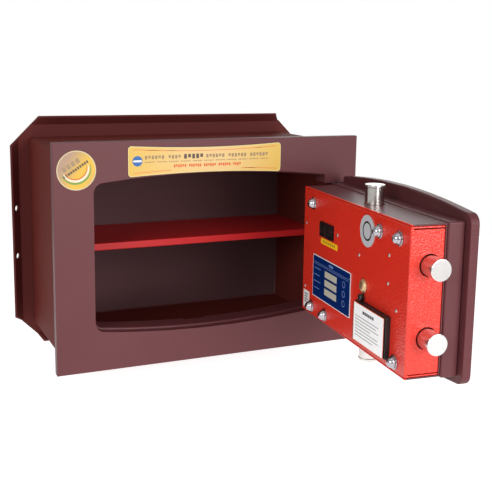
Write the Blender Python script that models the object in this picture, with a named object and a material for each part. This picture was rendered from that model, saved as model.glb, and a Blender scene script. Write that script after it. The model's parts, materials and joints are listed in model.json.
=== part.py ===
"""Wall safe: a welded steel body for building into a wall, with an arched door that carries
a boltwork of four round bolts, worked by a knob through a pinion and three racks, and a keypad.

Frame: +X to the right as the user faces the safe, +Y into the wall, +Z up. The origin is the
middle of the rear plate's back face, so the front face is at y = -DEPTH and z = 0 is half height.
Door pieces are drawn as for a shut door, from the hinge axis: u runs along the door from the
hinge to its free edge, w runs inward from the door's outer face. The door then turns open.
"""

import math

import bmesh
import bpy
from mathutils import Matrix, Vector

MM = 0.001
GAP = 0.3 * MM  # between pieces that touch
ROUND = 32  # sides of a round piece

# Body
FRONT_W = 390 * MM
FRONT_H = 270 * MM
FRONT_T = 10 * MM
DEPTH = 200 * MM
FRONT_Y = -DEPTH
BACK_OF_FRONT = FRONT_Y + FRONT_T + GAP
SHEET = 3.5 * MM
BODY_W = 367 * MM
BODY_H = 250 * MM
REAR_T = 3 * MM
REAR_W = 398 * MM
REAR_H = 284 * MM
REAR_CHAMFER = 19 * MM
LIP_L = 15 * MM
LIP_TILT = math.radians(45)
LIP_TAPER = 11 * MM  # each lip is this much shorter at its tip, at each end
LIP_HOLE_R = 4 * MM
LIP_HOLE_Z = 32 * MM

# Opening in the front plate, arched at top and bottom
OPEN_LEFT = -149 * MM
OPEN_RIGHT = 150 * MM
OPEN_HALF = 96.2 * MM  # at mid width
ARCH_RISE = 9.6 * MM  # from the ends to mid width
ARCH_SPAN = 150 * MM  # from mid width to the ends
ARCH_R = (ARCH_SPAN**2 + ARCH_RISE**2) / (2 * ARCH_RISE)
OPEN_CORNER = 12 * MM
EAR_Z = 75.5 * MM  # the hinge side is lower than the arch, so each end has an ear
HINGE_SIDE_X = 181 * MM
EAR_POCKET = 5 * MM  # cut into the plate's back for the hinge block

# Rebate behind the opening, with a notch for each bolt
REBATE_INSET = 2.4 * MM
REBATE_WALL = 5 * MM
REBATE_END = 38 * MM  # depth from the front face
NOTCH_START = 33.6 * MM
NOTCH_HALF = 13.5 * MM

# Shelf
SHELF_TOP = 2 * MM
SHELF_FRONT = 75 * MM
SHELF_LIP = 9 * MM
SHELF_T = 2 * MM

# Hinge and door
HINGE_X = 171 * MM
HINGE_W = 10 * MM
PIN_R = 3.5 * MM
KNUCKLE_R = 8 * MM
KNUCKLE_HALF = 73 * MM
DOOR_OPEN = math.radians(84)
DOOR_T = 10 * MM
DOOR_END = 318.5 * MM
DOOR_START = 11 * MM
DOOR_TALL_START = 24 * MM
DOOR_CLEAR = 1.5 * MM
DOOR_CORNER = 11 * MM
TRAY = (33 * MM, 310 * MM, DOOR_T + GAP, 29 * MM)  # u, u, w, w
TRAY_HALF = 78.5 * MM
TRAY_SHEET = 3 * MM

# Lock housing (painted like the body) and the cover over it
CASE_START = 41 * MM
CASE_END = 308 * MM
CASE_HALF = 77 * MM
CASE_SHEET = 1.5 * MM
COVER_FACE = 68.3 * MM
COVER_SHEET = 2 * MM
COVER_HALF = CASE_HALF - CASE_SHEET - GAP

# Boltwork
BOLT_R = 11 * MM
BOLT_W = 46 * MM
BOLT_OUT = 21.4 * MM
TOP_BOLT_U = 185 * MM
SIDE_BOLT_Z = 36.5 * MM
SPINDLE_U = 213 * MM
SPINDLE_Z = -6 * MM
SPINDLE_R = 4.5 * MM
MODULE = 2 * MM
TEETH = 14
PITCH_R = MODULE * TEETH / 2
BACKLASH = 0.5 * MM
TOP_RACK_W = (37 * MM, 42 * MM)
BOTTOM_RACK_W = (43 * MM, 48 * MM)
SIDE_RACK_W = (49 * MM, 54 * MM)

# Battery holder, keypad and knob
HOLDER = (203 * MM, 275 * MM, -67 * MM, -23 * MM)  # u, u, z, z
HOLDER_FLOOR = 58.6 * MM
HOLDER_RIM = 73.5 * MM
KEYPAD_U = 106 * MM
KEYPAD_Z = -6 * MM
KEYPAD_W = 64 * MM
KEYPAD_H = 96 * MM
KEYPAD_T = 13 * MM
KEY_PITCH = 17 * MM
KEY_SIZE = 13 * MM

FINISHES = {
    "maroon": ((0.205, 0.082, 0.096), 0.45, 0.0),
    "red": ((0.60, 0.020, 0.016), 0.5, 0.0),
    "steel": ((0.62, 0.61, 0.60), 0.3, 1.0),
    "chrome": ((0.80, 0.80, 0.80), 0.12, 1.0),
    "dark_steel": ((0.16, 0.16, 0.17), 0.5, 0.9),
    "brass": ((0.72, 0.50, 0.22), 0.3, 1.0),
    "black_plastic": ((0.02, 0.02, 0.022), 0.5, 0.0),
    "grey_plastic": ((0.28, 0.28, 0.29), 0.5, 0.0),
    "white_card": ((0.82, 0.82, 0.80), 0.6, 0.0),
    "gold_label": ((0.80, 0.52, 0.10), 0.4, 0.0),
    "blue_plate": ((0.02, 0.06, 0.28), 0.4, 0.0),
    "silver_label": ((0.66, 0.68, 0.70), 0.4, 0.0),
    "yellow_label": ((0.85, 0.55, 0.03), 0.5, 0.0),
    "green_board": ((0.02, 0.16, 0.07), 0.5, 0.0),
    "cell_jacket": ((0.05, 0.05, 0.06), 0.4, 0.2),
}


# ---------------------------------------------------------------- scene and finishes


def clear_scene():
    for old in list(bpy.data.objects):
        bpy.data.objects.remove(old, do_unlink=True)


def material(node, finish):
    colour, roughness, metallic = FINISHES[finish]
    made = bpy.data.materials.new(f"{node}_{finish}")
    made.use_nodes = True
    shader = made.node_tree.nodes["Principled BSDF"]
    shader.inputs["Base Color"].default_value = (*colour, 1.0)
    shader.inputs["Roughness"].default_value = roughness
    shader.inputs["Metallic"].default_value = metallic
    made.diffuse_color = (*colour, 1.0)
    return made


def empty(name, location, parent=None):
    made = bpy.data.objects.new(name, None)
    bpy.context.scene.collection.objects.link(made)
    made.location = location
    made.parent = parent
    return made


def piece(name, bm, finish, parent=None, location=(0, 0, 0), smooth=False):
    """Turns bm into an object whose origin is at location in its parent's frame."""
    bmesh.ops.recalc_face_normals(bm, faces=bm.faces)
    mesh = bpy.data.meshes.new(name)
    bm.to_mesh(mesh)
    bm.free()
    obj = bpy.data.objects.new(name, mesh)
    bpy.context.scene.collection.objects.link(obj)
    obj.data.materials.append(material(name, finish))
    obj.parent = parent
    obj.location = location
    if smooth:
        mesh.shade_smooth()
        mesh.set_sharp_from_angle(angle=math.radians(35))
    return obj


def cutter(name, bm, parent=None, location=(0, 0, 0)):
    bmesh.ops.recalc_face_normals(bm, faces=bm.faces)
    mesh = bpy.data.meshes.new(name)
    bm.to_mesh(mesh)
    bm.free()
    obj = bpy.data.objects.new(name, mesh)
    bpy.context.scene.collection.objects.link(obj)
    obj.hide_render = True
    obj.display_type = "WIRE"
    obj.parent = parent
    obj.location = location
    return obj


def combine(obj, other, operation="DIFFERENCE"):
    modifier = obj.modifiers.new(f"{operation.lower()}_{other.name}", "BOOLEAN")
    modifier.operation = operation
    modifier.solver = "EXACT"
    modifier.object = other


def bevel(obj, width, segments=2, angle=40):
    modifier = obj.modifiers.new("bevel", "BEVEL")
    modifier.width = width
    modifier.segments = segments
    modifier.limit_method = "ANGLE"
    modifier.angle_limit = math.radians(angle)
    modifier.use_clamp_overlap = True


# ---------------------------------------------------------------- shapes


def aim(centre, axis):
    """The matrix that moves a shape drawn about +Z at the origin to centre and axis."""
    turn = Vector((0, 0, 1)).rotation_difference(Vector(axis)).to_matrix().to_4x4()
    return Matrix.Translation(centre) @ turn


def box(x, y, z):
    """A box between the low and high values of each axis."""
    bm = bmesh.new()
    size = Matrix.Diagonal((x[1] - x[0], y[1] - y[0], z[1] - z[0], 1))
    middle = Matrix.Translation((sum(x) / 2, sum(y) / 2, sum(z) / 2))
    bmesh.ops.create_cube(bm, size=1, matrix=middle @ size)
    return bm


def rod(centre, axis, radius, length, sides=ROUND):
    bm = bmesh.new()
    bmesh.ops.create_cone(bm, cap_ends=True, segments=sides, radius1=radius, radius2=radius,
                          depth=length, matrix=aim(centre, axis))
    return bm


def turned(profile, centre=(0, 0, 0), axis=(0, 0, 1), sides=ROUND, ring=False):
    """Spins a (radius, height) profile about axis. A ring's profile is a closed loop."""
    bm = bmesh.new()
    verts = [bm.verts.new((radius, 0, height)) for radius, height in profile]
    edges = [bm.edges.new(pair) for pair in zip(verts, verts[1:])]
    if ring:
        edges.append(bm.edges.new((verts[-1], verts[0])))
    bmesh.ops.spin(bm, geom=verts + edges, cent=(0, 0, 0), axis=(0, 0, 1), angle=math.tau,
                   steps=sides, use_merge=True)
    bmesh.ops.remove_doubles(bm, verts=bm.verts, dist=1e-6)
    bmesh.ops.transform(bm, matrix=aim(centre, axis), verts=bm.verts)
    return bm


def slab(outline, low, high, axis=1):
    """A plate whose outline lies across axis: (x, z) points for axis 1, (x, y) points for axis 2."""
    bm = bmesh.new()
    place = (lambda a, b: (a, low, b)) if axis == 1 else (lambda a, b: (a, b, low))
    face = bm.faces.new([bm.verts.new(place(a, b)) for a, b in outline])
    grown = bmesh.ops.extrude_face_region(bm, geom=[face])["geom"]
    step = (0, high - low, 0) if axis == 1 else (0, 0, high - low)
    bmesh.ops.translate(bm, vec=step, verts=[v for v in grown if isinstance(v, bmesh.types.BMVert)])
    return bm


def corner_arc(centre, radius, start, end, steps=6):
    """Points on an arc, from start to end degrees."""
    turn = [math.radians(start + (end - start) * k / steps) for k in range(steps + 1)]
    return [(centre[0] + radius * math.cos(a), centre[1] + radius * math.sin(a)) for a in turn]


def arch_height(x, half):
    """Half height of an arched opening or door at x, where half is its value at mid width."""
    return half - (ARCH_R - math.sqrt(ARCH_R**2 - x**2))


def arched_edge(start, end, half, steps=14):
    """Points along the upper arch from start to end."""
    xs = [start + (end - start) * k / steps for k in range(steps + 1)]
    return [(x, arch_height(x, half)) for x in xs]


def mirrored_outline(upper):
    """An outline whose lower half mirrors its upper half, which runs from -x to +x."""
    return upper + [(x, -z) for x, z in reversed(upper)]


def arched_outline(left, right, half, left_corner, right_corner=0):
    """Arched at top and bottom, with a corner radius at each end."""
    left_z = arch_height(left + left_corner, half) - left_corner
    upper = corner_arc((left + left_corner, left_z), left_corner, 180, 90)[:-1]
    upper += arched_edge(left + left_corner, right - right_corner, half)
    if right_corner:
        right_z = arch_height(right - right_corner, half) - right_corner
        upper += corner_arc((right - right_corner, right_z), right_corner, 90, 0)[1:]
    return mirrored_outline(upper)


def notch_box(x, w, z):
    """A box given in closed-door depths w from the front face."""
    return box(x, (FRONT_Y + w[0], FRONT_Y + w[1]), z)


# ---------------------------------------------------------------- body


def make_front_plate():
    half_w, half_h = FRONT_W / 2, FRONT_H / 2
    outline = [(-half_w, -half_h), (half_w, -half_h), (half_w, half_h), (-half_w, half_h)]
    plate = piece("front_plate", slab(outline, FRONT_Y, FRONT_Y + FRONT_T), "maroon")
    past = 5 * MM
    arch = arched_outline(OPEN_LEFT, OPEN_RIGHT, OPEN_HALF, OPEN_CORNER)
    combine(plate, cutter("cut_arch", slab(arch, FRONT_Y - past, FRONT_Y + FRONT_T + past)))
    side = notch_box((OPEN_RIGHT - past, HINGE_SIDE_X), (-past, FRONT_T + past), (-EAR_Z, EAR_Z))
    combine(plate, cutter("cut_hinge_side", side))
    for sign, name in ((1, "upper"), (-1, "lower")):
        span = sorted((sign * (EAR_Z - past), sign * (arch_height(OPEN_RIGHT, OPEN_HALF) + 12 * MM)))
        pocket = notch_box((OPEN_RIGHT - past, HINGE_SIDE_X), (EAR_POCKET, FRONT_T + past), span)
        combine(plate, cutter(f"cut_ear_{name}", pocket))
    return plate


def make_hinge_blocks():
    """One block behind each ear, bored for the hinge pin."""
    depth = (EAR_POCKET + GAP, 24 * MM)
    for sign, name in ((1, "upper"), (-1, "lower")):
        span = sorted((sign * EAR_Z, sign * (EAR_Z + 22 * MM)))
        block = notch_box((OPEN_RIGHT + GAP, HINGE_SIDE_X - 1.6 * MM), depth, span)
        block = piece(f"hinge_block_{name}", block, "maroon")
        bore = rod((HINGE_X, FRONT_Y + HINGE_W, sign * EAR_Z), (0, 0, 1), PIN_R + GAP, 36 * MM)
        combine(block, cutter(f"bore_block_{name}", bore))


def make_rebate():
    """A C-shaped collar behind the opening. It stops the door and holds the thrown bolts."""
    inner_half = OPEN_HALF - REBATE_INSET
    left = OPEN_LEFT + REBATE_INSET
    outer = arched_outline(left - REBATE_WALL, OPEN_RIGHT - GAP, inner_half + REBATE_WALL, OPEN_CORNER)
    depth = (BACK_OF_FRONT, FRONT_Y + REBATE_END)
    rebate = piece("door_rebate", slab(outer, *depth), "maroon")
    past = 5 * MM
    inner = arched_outline(left, OPEN_RIGHT + past, inner_half, OPEN_CORNER - REBATE_INSET)
    combine(rebate, cutter("cut_rebate", slab(inner, depth[0] - past, depth[1] + past)))
    notch = (NOTCH_START, REBATE_END + past)
    bolt_x = HINGE_X - TOP_BOLT_U
    tall = 120 * MM
    upright = notch_box((bolt_x - NOTCH_HALF, bolt_x + NOTCH_HALF), notch, (-tall, tall))
    combine(rebate, cutter("cut_notch_vertical", upright))
    for sign, name in ((1, "upper"), (-1, "lower")):
        span = (sign * SIDE_BOLT_Z - NOTCH_HALF, sign * SIDE_BOLT_Z + NOTCH_HALF)
        reach = (left - REBATE_WALL - past, left + past)
        combine(rebate, cutter(f"cut_notch_{name}", notch_box(reach, notch, span)))
    return rebate


def make_body_shell():
    half_w, half_h = BODY_W / 2, BODY_H / 2
    depth = (BACK_OF_FRONT, -REAR_T - GAP)
    shell = piece("body_shell", box((-half_w, half_w), depth, (-half_h, half_h)), "maroon")
    bevel(shell, 3 * MM, 3)
    inner_w, inner_h = half_w - SHEET, half_h - SHEET
    hollow = box((-inner_w, inner_w), (depth[0] - 0.01, depth[1] + 0.01), (-inner_h, inner_h))
    combine(shell, cutter("cut_body", hollow))
    return shell


def make_rear_plate():
    """An octagonal back plate with a lip bent forward along each long side."""
    half_w, half_h, chamfer = REAR_W / 2, REAR_H / 2, REAR_CHAMFER
    flat_x, flat_z = half_w - chamfer, half_h - chamfer
    outline = [(-half_w, -flat_z), (-flat_x, -half_h), (flat_x, -half_h), (half_w, -flat_z),
               (half_w, flat_z), (flat_x, half_h), (-flat_x, half_h), (-half_w, flat_z)]
    plate = piece("rear_plate", slab(outline, -REAR_T, 0), "maroon")
    sine, cosine = math.sin(LIP_TILT), math.cos(LIP_TILT)
    lean = (LIP_L * cosine, -LIP_L * sine)  # outward and forward
    thick = (REAR_T * sine, REAR_T * cosine)
    root = 0.8 * MM
    section = [(-root, 0), (0, 0), (lean[0], lean[1]), (lean[0] - thick[0], lean[1] - thick[1]),
               (-thick[0], -thick[1]), (-root - thick[0], -REAR_T)]
    for side, (reach, run) in enumerate(((half_w, flat_z), (half_h, flat_x)) * 2):
        sign = 1 if side < 2 else -1
        bm = bmesh.new()
        rows = []
        for end in (-1, 1):
            row = []
            for out, deep in section:
                along = end * (run - LIP_TAPER * max(0, -deep - REAR_T) / LIP_L / sine)
                far = sign * (reach + out)
                row.append(bm.verts.new((far, deep, along) if side % 2 == 0 else (along, deep, far)))
            rows.append(row)
        bm.faces.new(rows[0])
        bm.faces.new(rows[1])
        for k in range(len(section)):
            after = (k + 1) % len(section)
            bm.faces.new((rows[0][k], rows[0][after], rows[1][after], rows[1][k]))
        combine(plate, cutter(f"lip_{side}", bm), "UNION")
    middle = half_w + lean[0] / 2
    for sign in (1, -1):
        for z in (LIP_HOLE_Z, -LIP_HOLE_Z):
            hole = rod((sign * middle, lean[1] / 2, z), (sign * sine, cosine, 0), LIP_HOLE_R,
                       20 * MM, 20)
            combine(plate, cutter(f"lip_hole_{sign}_{z:.3f}", hole))
    return plate


def make_shelf():
    """A sheet folded down along its front and both sides, where it is welded to the body."""
    half = BODY_W / 2 - SHEET - GAP
    front, back = FRONT_Y + SHELF_FRONT, -REAR_T - 2 * GAP
    low = SHELF_TOP - SHELF_LIP
    shelf = piece("shelf", box((-half, half), (front, back), (low, SHELF_TOP)), "red")
    under = box((-half + SHELF_T, half - SHELF_T), (front + SHELF_T, back + 5 * MM),
                (low - 5 * MM, SHELF_TOP - SHELF_T))
    combine(shelf, cutter("shelf_underside", under))
    return shelf


def make_front_labels():
    """A round label and a long label with hollow sides, stuck to the front plate."""
    low, high = FRONT_Y - GAP - 0.4 * MM, FRONT_Y - GAP
    disc = rod((-168.5 * MM, (low + high) / 2, 103.5 * MM), (0, 1, 0), 22.5 * MM, high - low, 40)
    piece("round_label", disc, "gold_label")
    left, right, bottom, top = -108.5 * MM, 86 * MM, 93.5 * MM, 129 * MM
    sag = 3 * MM
    steps = 12
    spread = [2 * k / steps - 1 for k in range(steps + 1)]
    upper = [(left + (right - left) * (t + 1) / 2, top - sag * (1 - t * t)) for t in spread]
    lower = [(x, bottom + sag * (1 - t * t)) for (x, _), t in zip(upper, spread)]
    piece("front_label", slab(lower + upper[::-1], low, high), "gold_label")


# ---------------------------------------------------------------- door


class Door:
    """Places door pieces. u and w become x and y about the hinge axis."""

    def __init__(self):
        self.pin_turn = empty("pin_turn", (HINGE_X, FRONT_Y + HINGE_W, 0))
        self.pin_turn.rotation_euler = (0, 0, DOOR_OPEN)

    @staticmethod
    def at(u, w, z=0.0):
        return (-u, w - HINGE_W, z)

    def box(self, u, w, z):
        return box((-u[1], -u[0]), (w[0] - HINGE_W, w[1] - HINGE_W), z)

    def rod_w(self, u, z, w, radius, sides=ROUND):
        """A round bar across the door, from w[0] to w[1]."""
        centre = self.at(u, sum(w) / 2, z)
        return rod(centre, (0, 1, 0), radius, w[1] - w[0], sides)

    def turned_w(self, profile, u, z, w, sides=ROUND, ring=False, outward=False):
        """A turned piece whose heights run inward from w, or outward."""
        axis = (0, -1, 0) if outward else (0, 1, 0)
        return turned(profile, self.at(u, w, z), axis, sides, ring)

    def piece(self, name, bm, finish, smooth=False):
        return piece(name, bm, finish, self.pin_turn, smooth=smooth)

    def cut(self, obj, name, bm):
        combine(obj, cutter(name, bm, self.pin_turn))


def make_hinge(door):
    for sign, name in ((1, "upper"), (-1, "lower")):
        reach, collar, collar_r = 18 * MM, (KNUCKLE_HALF + GAP, EAR_Z - GAP), 6.5 * MM
        profile = [(0, KNUCKLE_HALF - reach), (PIN_R, KNUCKLE_HALF - reach), (PIN_R, collar[0]),
                   (collar_r, collar[0]), (collar_r, collar[1]), (PIN_R, collar[1]),
                   (PIN_R, EAR_Z + reach), (0, EAR_Z + reach)]
        pin = turned(profile, axis=(0, 0, sign), sides=24)
        piece(f"hinge_pin_{name}", pin, "steel", door.pin_turn, smooth=True)
    barrel = rod((0, 0, 0), (0, 0, 1), KNUCKLE_R, 2 * KNUCKLE_HALF, 28)
    knuckle = door.piece("hinge_knuckle", barrel, "maroon", smooth=True)
    web = door.box((3 * MM, TRAY[0] - GAP), (DOOR_T + GAP, HINGE_W + KNUCKLE_R - 1 * MM),
                   (-KNUCKLE_HALF, KNUCKLE_HALF))
    combine(knuckle, cutter("hinge_web", web, door.pin_turn), "UNION")
    for sign, name in ((1, "upper"), (-1, "lower")):
        bore = rod((0, 0, sign * KNUCKLE_HALF), (0, 0, 1), PIN_R + GAP, 38 * MM, 24)
        door.cut(knuckle, f"bore_knuckle_{name}", bore)


def make_outer_plate(door):
    """The door's face, arched like the opening. Only its low part reaches in between the ears."""
    shift = -HINGE_X
    start, end = HINGE_X - DOOR_END, HINGE_X - DOOR_TALL_START
    tall = arched_outline(start, end, OPEN_HALF - DOOR_CLEAR, DOOR_CORNER, 5 * MM)
    upper = [(x + shift, z) for x, z in tall[: len(tall) // 2]]
    upper += [(-DOOR_TALL_START, KNUCKLE_HALF), (-DOOR_START, KNUCKLE_HALF)]
    outline = mirrored_outline(upper)
    plate = door.piece("door_outer_plate", slab(outline, -HINGE_W, DOOR_T - HINGE_W), "maroon")
    bevel(plate, 1.2 * MM, 2)
    for name, u, z, radius in (("spindle", SPINDLE_U, SPINDLE_Z, SPINDLE_R + 0.6 * MM),
                               ("cable", KEYPAD_U, KEYPAD_Z, 5 * MM)):
        door.cut(plate, f"plate_{name}", door.rod_w(u, z, (-5 * MM, 20 * MM), radius, 20))


def make_inner_plate(door):
    """A folded tray behind the outer plate, and the hard plate inside it."""
    u0, u1, w0, w1 = TRAY
    tray = door.piece("door_inner_plate", door.box((u0, u1), (w0, w1), (-TRAY_HALF, TRAY_HALF)), "maroon")
    bevel(tray, 2 * MM, 2)
    inset = TRAY_SHEET
    hollow = door.box((u0 + inset, u1 - inset), (w0 - 5 * MM, w1 - inset),
                      (-TRAY_HALF + inset, TRAY_HALF - inset))
    door.cut(tray, "tray_hollow", hollow)
    hard = door.piece("hard_plate", door.box((150 * MM, 290 * MM), (w0 + GAP, w0 + 6 * MM),
                                             (-52 * MM, 52 * MM)), "dark_steel")
    for obj, name in ((tray, "tray"), (hard, "hard")):
        door.cut(obj, f"{name}_spindle", door.rod_w(SPINDLE_U, SPINDLE_Z, (0, 40 * MM),
                                                    SPINDLE_R + 0.6 * MM, 20))
    door.cut(tray, "tray_cable", door.rod_w(KEYPAD_U, KEYPAD_Z, (0, 40 * MM), 5 * MM, 20))


def make_housing(door):
    """A channel in body paint over and under the lock, then the red cover pan that closes it."""
    w0 = TRAY[3] + GAP
    inner = CASE_HALF - CASE_SHEET
    w1 = COVER_FACE - GAP
    housing = door.piece("lock_housing", door.box((CASE_START, CASE_END), (w0, w1),
                                                  (-CASE_HALF, CASE_HALF)), "maroon")
    hollow = door.box((CASE_START - 0.01, CASE_END + 0.01), (w0 + CASE_SHEET, w1 + 0.01), (-inner, inner))
    door.cut(housing, "housing_hollow", hollow)
    cover = door.piece("lock_cover", door.box((CASE_START, CASE_END), (w0 + CASE_SHEET + GAP, COVER_FACE),
                                              (-COVER_HALF, COVER_HALF)), "red")
    bevel(cover, 1.2 * MM, 2)
    skin = COVER_SHEET
    hollow = door.box((CASE_START + skin, CASE_END - skin), (w0 - 5 * MM, COVER_FACE - skin),
                      (-COVER_HALF + skin, COVER_HALF - skin))
    door.cut(cover, "cover_hollow", hollow)
    slit = 1.2 * MM
    for sign, name in ((1, "upper"), (-1, "lower")):
        span = sorted((sign * (COVER_HALF - skin), sign * (COVER_HALF - skin - slit)))
        for end, (u0, u1) in (("free", (CASE_END - 5 * MM, CASE_END + 5 * MM)),
                              ("hinge", (CASE_START - 5 * MM, CASE_START + 5 * MM))):
            cut = door.box((u0, u1), (w0 - 5 * MM, COVER_FACE - 3 * MM), span)
            door.cut(cover, f"slit_{end}_{name}", cut)
    bolt_hole = BOLT_R + 0.5 * MM
    centre = door.at(TOP_BOLT_U, BOLT_W)
    for obj, name in ((cover, "cover"), (housing, "housing")):
        upright = rod(centre, (0, 0, 1), bolt_hole, 200 * MM)
        door.cut(obj, f"{name}_vertical_bolts", upright)
        door.cut(obj, f"{name}_spindle", door.rod_w(SPINDLE_U, SPINDLE_Z, (20 * MM, 80 * MM), 6 * MM, 20))
    for sign, name in ((1, "upper"), (-1, "lower")):
        side = rod(door.at(CASE_END, BOLT_W, sign * SIDE_BOLT_Z), (1, 0, 0), bolt_hole, 20 * MM)
        door.cut(cover, f"cover_side_bolt_{name}", side)
    u0, u1, z0, z1 = HOLDER
    window = door.box((u0 - GAP, u1 + GAP), (50 * MM, 80 * MM), (z0 - GAP, z1 + GAP))
    door.cut(cover, "cover_battery_window", window)
    socket = door.box((92 * MM, 131 * MM), (60 * MM, 80 * MM), (25 * MM, 43 * MM))
    door.cut(cover, "cover_socket_window", socket)
    door.cut(housing, "housing_cable", door.rod_w(KEYPAD_U, KEYPAD_Z, (20 * MM, 40 * MM), 5 * MM, 20))


def make_cover_fittings(door):
    seat = COVER_FACE + GAP
    dome = [(0, 0), (6 * MM, 0), (6 * MM, 2.2 * MM), (5.2 * MM, 4 * MM), (3.4 * MM, 5.4 * MM), (0, 6 * MM)]
    places = [(70.5, 60.2), (243.8, 59.0), (286.5, 59.8), (70.5, -66.7), (111, -66.9), (286, -65.8)]
    for number, (u, z) in enumerate(places, 1):
        screw = door.turned_w(dome, u * MM, z * MM, seat, 20, outward=False)
        door.piece(f"cover_screw_{number}", screw, "chrome", smooth=True)
    bore = SPINDLE_R + 0.5 * MM
    bush = [(bore, -1 * MM), (5.7 * MM, -1 * MM), (5.7 * MM, 0), (7.6 * MM, 0), (7.6 * MM, 1.6 * MM),
            (6.4 * MM, 3 * MM), (bore, 3 * MM)]
    bush = door.turned_w(bush, SPINDLE_U, SPINDLE_Z, seat, 28, ring=True)
    door.piece("spindle_bush", bush, "brass", smooth=True)


def make_labels(door):
    low, high = COVER_FACE + GAP, COVER_FACE + GAP + 0.5 * MM
    plate = door.box((75 * MM, 181 * MM), (low, high), (-51 * MM, 0))
    door.piece("rating_plate", plate, "blue_plate")
    door.piece("round_sticker", door.rod_w(217 * MM, 54 * MM, (low, high), 17 * MM, 36), "silver_label")


def make_electrics(door):
    """Battery holder in its window, its cells and lid, the socket, circuit board and solenoid."""
    u0, u1, z0, z1 = HOLDER
    wall = 2 * MM
    holder = door.piece("battery_holder", door.box((u0, u1), (HOLDER_FLOOR, HOLDER_RIM), (z0, z1)),
                        "black_plastic")
    hollow = door.box((u0 + wall, u1 - wall), (HOLDER_FLOOR + 1.2 * MM, HOLDER_RIM + 5 * MM),
                      (z0 + wall, z1 - wall))
    door.cut(holder, "holder_hollow", hollow)
    lid = door.box((u0 + 1 * MM, u1 - 1 * MM), (HOLDER_RIM + GAP, HOLDER_RIM + 2.2 * MM),
                   (z0 + 1 * MM, z1 - 1 * MM))
    door.piece("battery_lid", lid, "white_card")
    cell_r, cell_l = 5.2 * MM, 44 * MM
    middle_u = (u0 + u1) / 2
    floor = HOLDER_FLOOR + 1.2 * MM + GAP
    for k in (-1, 0, 1):
        z = (z0 + z1) / 2 + k * (2 * cell_r + 1 * MM)
        body = [(0, -cell_l / 2), (cell_r, -cell_l / 2), (cell_r, cell_l / 2), (1.8 * MM, cell_l / 2),
                (1.8 * MM, cell_l / 2 + 1 * MM), (0, cell_l / 2 + 1 * MM)]
        side = -1 if k else 1
        cell = turned(body, door.at(middle_u, floor + cell_r, z), (side, 0, 0), 20)
        door.piece(f"battery_cell_{k + 2}", cell, "cell_jacket", smooth=True)
    screw = [(0, 0), (3.8 * MM, 0), (3.8 * MM, 4.5 * MM), (3 * MM, 5.5 * MM), (0, 5.5 * MM)]
    door.piece("lid_catch", door.turned_w(screw, 213 * MM, -18.2 * MM, COVER_FACE + GAP, 16),
               "black_plastic", smooth=True)
    socket = door.box((92.4 * MM, 130.6 * MM), (62 * MM, COVER_FACE + 1.6 * MM), (25.4 * MM, 42.6 * MM))
    socket = door.piece("socket_block", socket, "black_plastic")
    groove = door.box((111.2 * MM, 111.9 * MM), (COVER_FACE, COVER_FACE + 5 * MM), (20 * MM, 50 * MM))
    door.cut(socket, "socket_groove", groove)
    web = TRAY[3] + GAP + CASE_SHEET + GAP
    door.piece("circuit_board", door.box((50 * MM, 165 * MM), (web + 3 * MM, web + 4.6 * MM),
                                         (-68 * MM, -22 * MM)), "green_board")
    body = door.box((120 * MM, 150 * MM), (web, web + 24 * MM), (-14 * MM, 10 * MM))
    door.piece("lock_solenoid", body, "dark_steel")
    stem = rod(door.at(156.2 * MM, web + 12 * MM, -2 * MM), (1, 0, 0), 3 * MM, 12 * MM, 16)
    door.piece("solenoid_plunger", stem, "steel", smooth=True)


def rack_teeth(length_from, length_to, phase):
    """Outline of a rack's toothed edge: (along, height) with height measured from the pitch line."""
    pitch = math.pi * MODULE
    slope = math.tan(math.radians(20))
    half = (pitch / 2 - BACKLASH) / 2
    top, bottom = 0.9 * MODULE, -1.2 * MODULE
    points = []
    first = math.ceil((length_from - phase) / pitch)
    last = math.floor((length_to - phase) / pitch)
    for k in range(first, last + 1):
        centre = phase + k * pitch
        foot, tip = half - bottom * slope, half - top * slope
        if centre - foot > length_from and centre + foot < length_to:
            points += [(centre - foot, bottom), (centre - tip, top), (centre + tip, top),
                       (centre + foot, bottom)]
    return [(length_from, bottom)] + points + [(length_to, bottom)]


def pinion_outline():
    """Involute teeth, with a tooth centred on angle 0."""
    base = PITCH_R * math.cos(math.radians(20))
    tip_r, root_r = PITCH_R + 0.9 * MODULE, PITCH_R - 1.2 * MODULE
    step = math.tau / TEETH
    half = (math.pi * MODULE / 2 - BACKLASH) / 2 / PITCH_R

    def involute(radius):
        angle = math.acos(min(1.0, base / radius))
        return math.tan(angle) - angle

    flank = [max(base, root_r) + (tip_r - max(base, root_r)) * k / 4 for k in range(5)]
    offsets = [(r, half + involute(PITCH_R) - involute(r)) for r in flank]
    side = [(root_r, offsets[0][1])] + offsets
    points = []
    for tooth in range(TEETH):
        middle = tooth * step
        points += [(r, middle - a) for r, a in side] + [(r, middle + a) for r, a in reversed(side)]
    return [(r * math.cos(a), r * math.sin(a)) for r, a in points]


def slab_w(outline, w, centre_u, centre_z):
    """A plate across the door from (u, z) offsets about a centre."""
    points = [(-(centre_u + a), centre_z + b) for a, b in outline]
    return slab(points, w[0] - HINGE_W, w[1] - HINGE_W)


def bolt(tip, back, chamfer=1 * MM):
    """A round bolt along +Z from back to tip, with a chamfered tip."""
    return [(0, back), (BOLT_R, back), (BOLT_R, tip - chamfer), (BOLT_R - chamfer, tip), (0, tip)]


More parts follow.
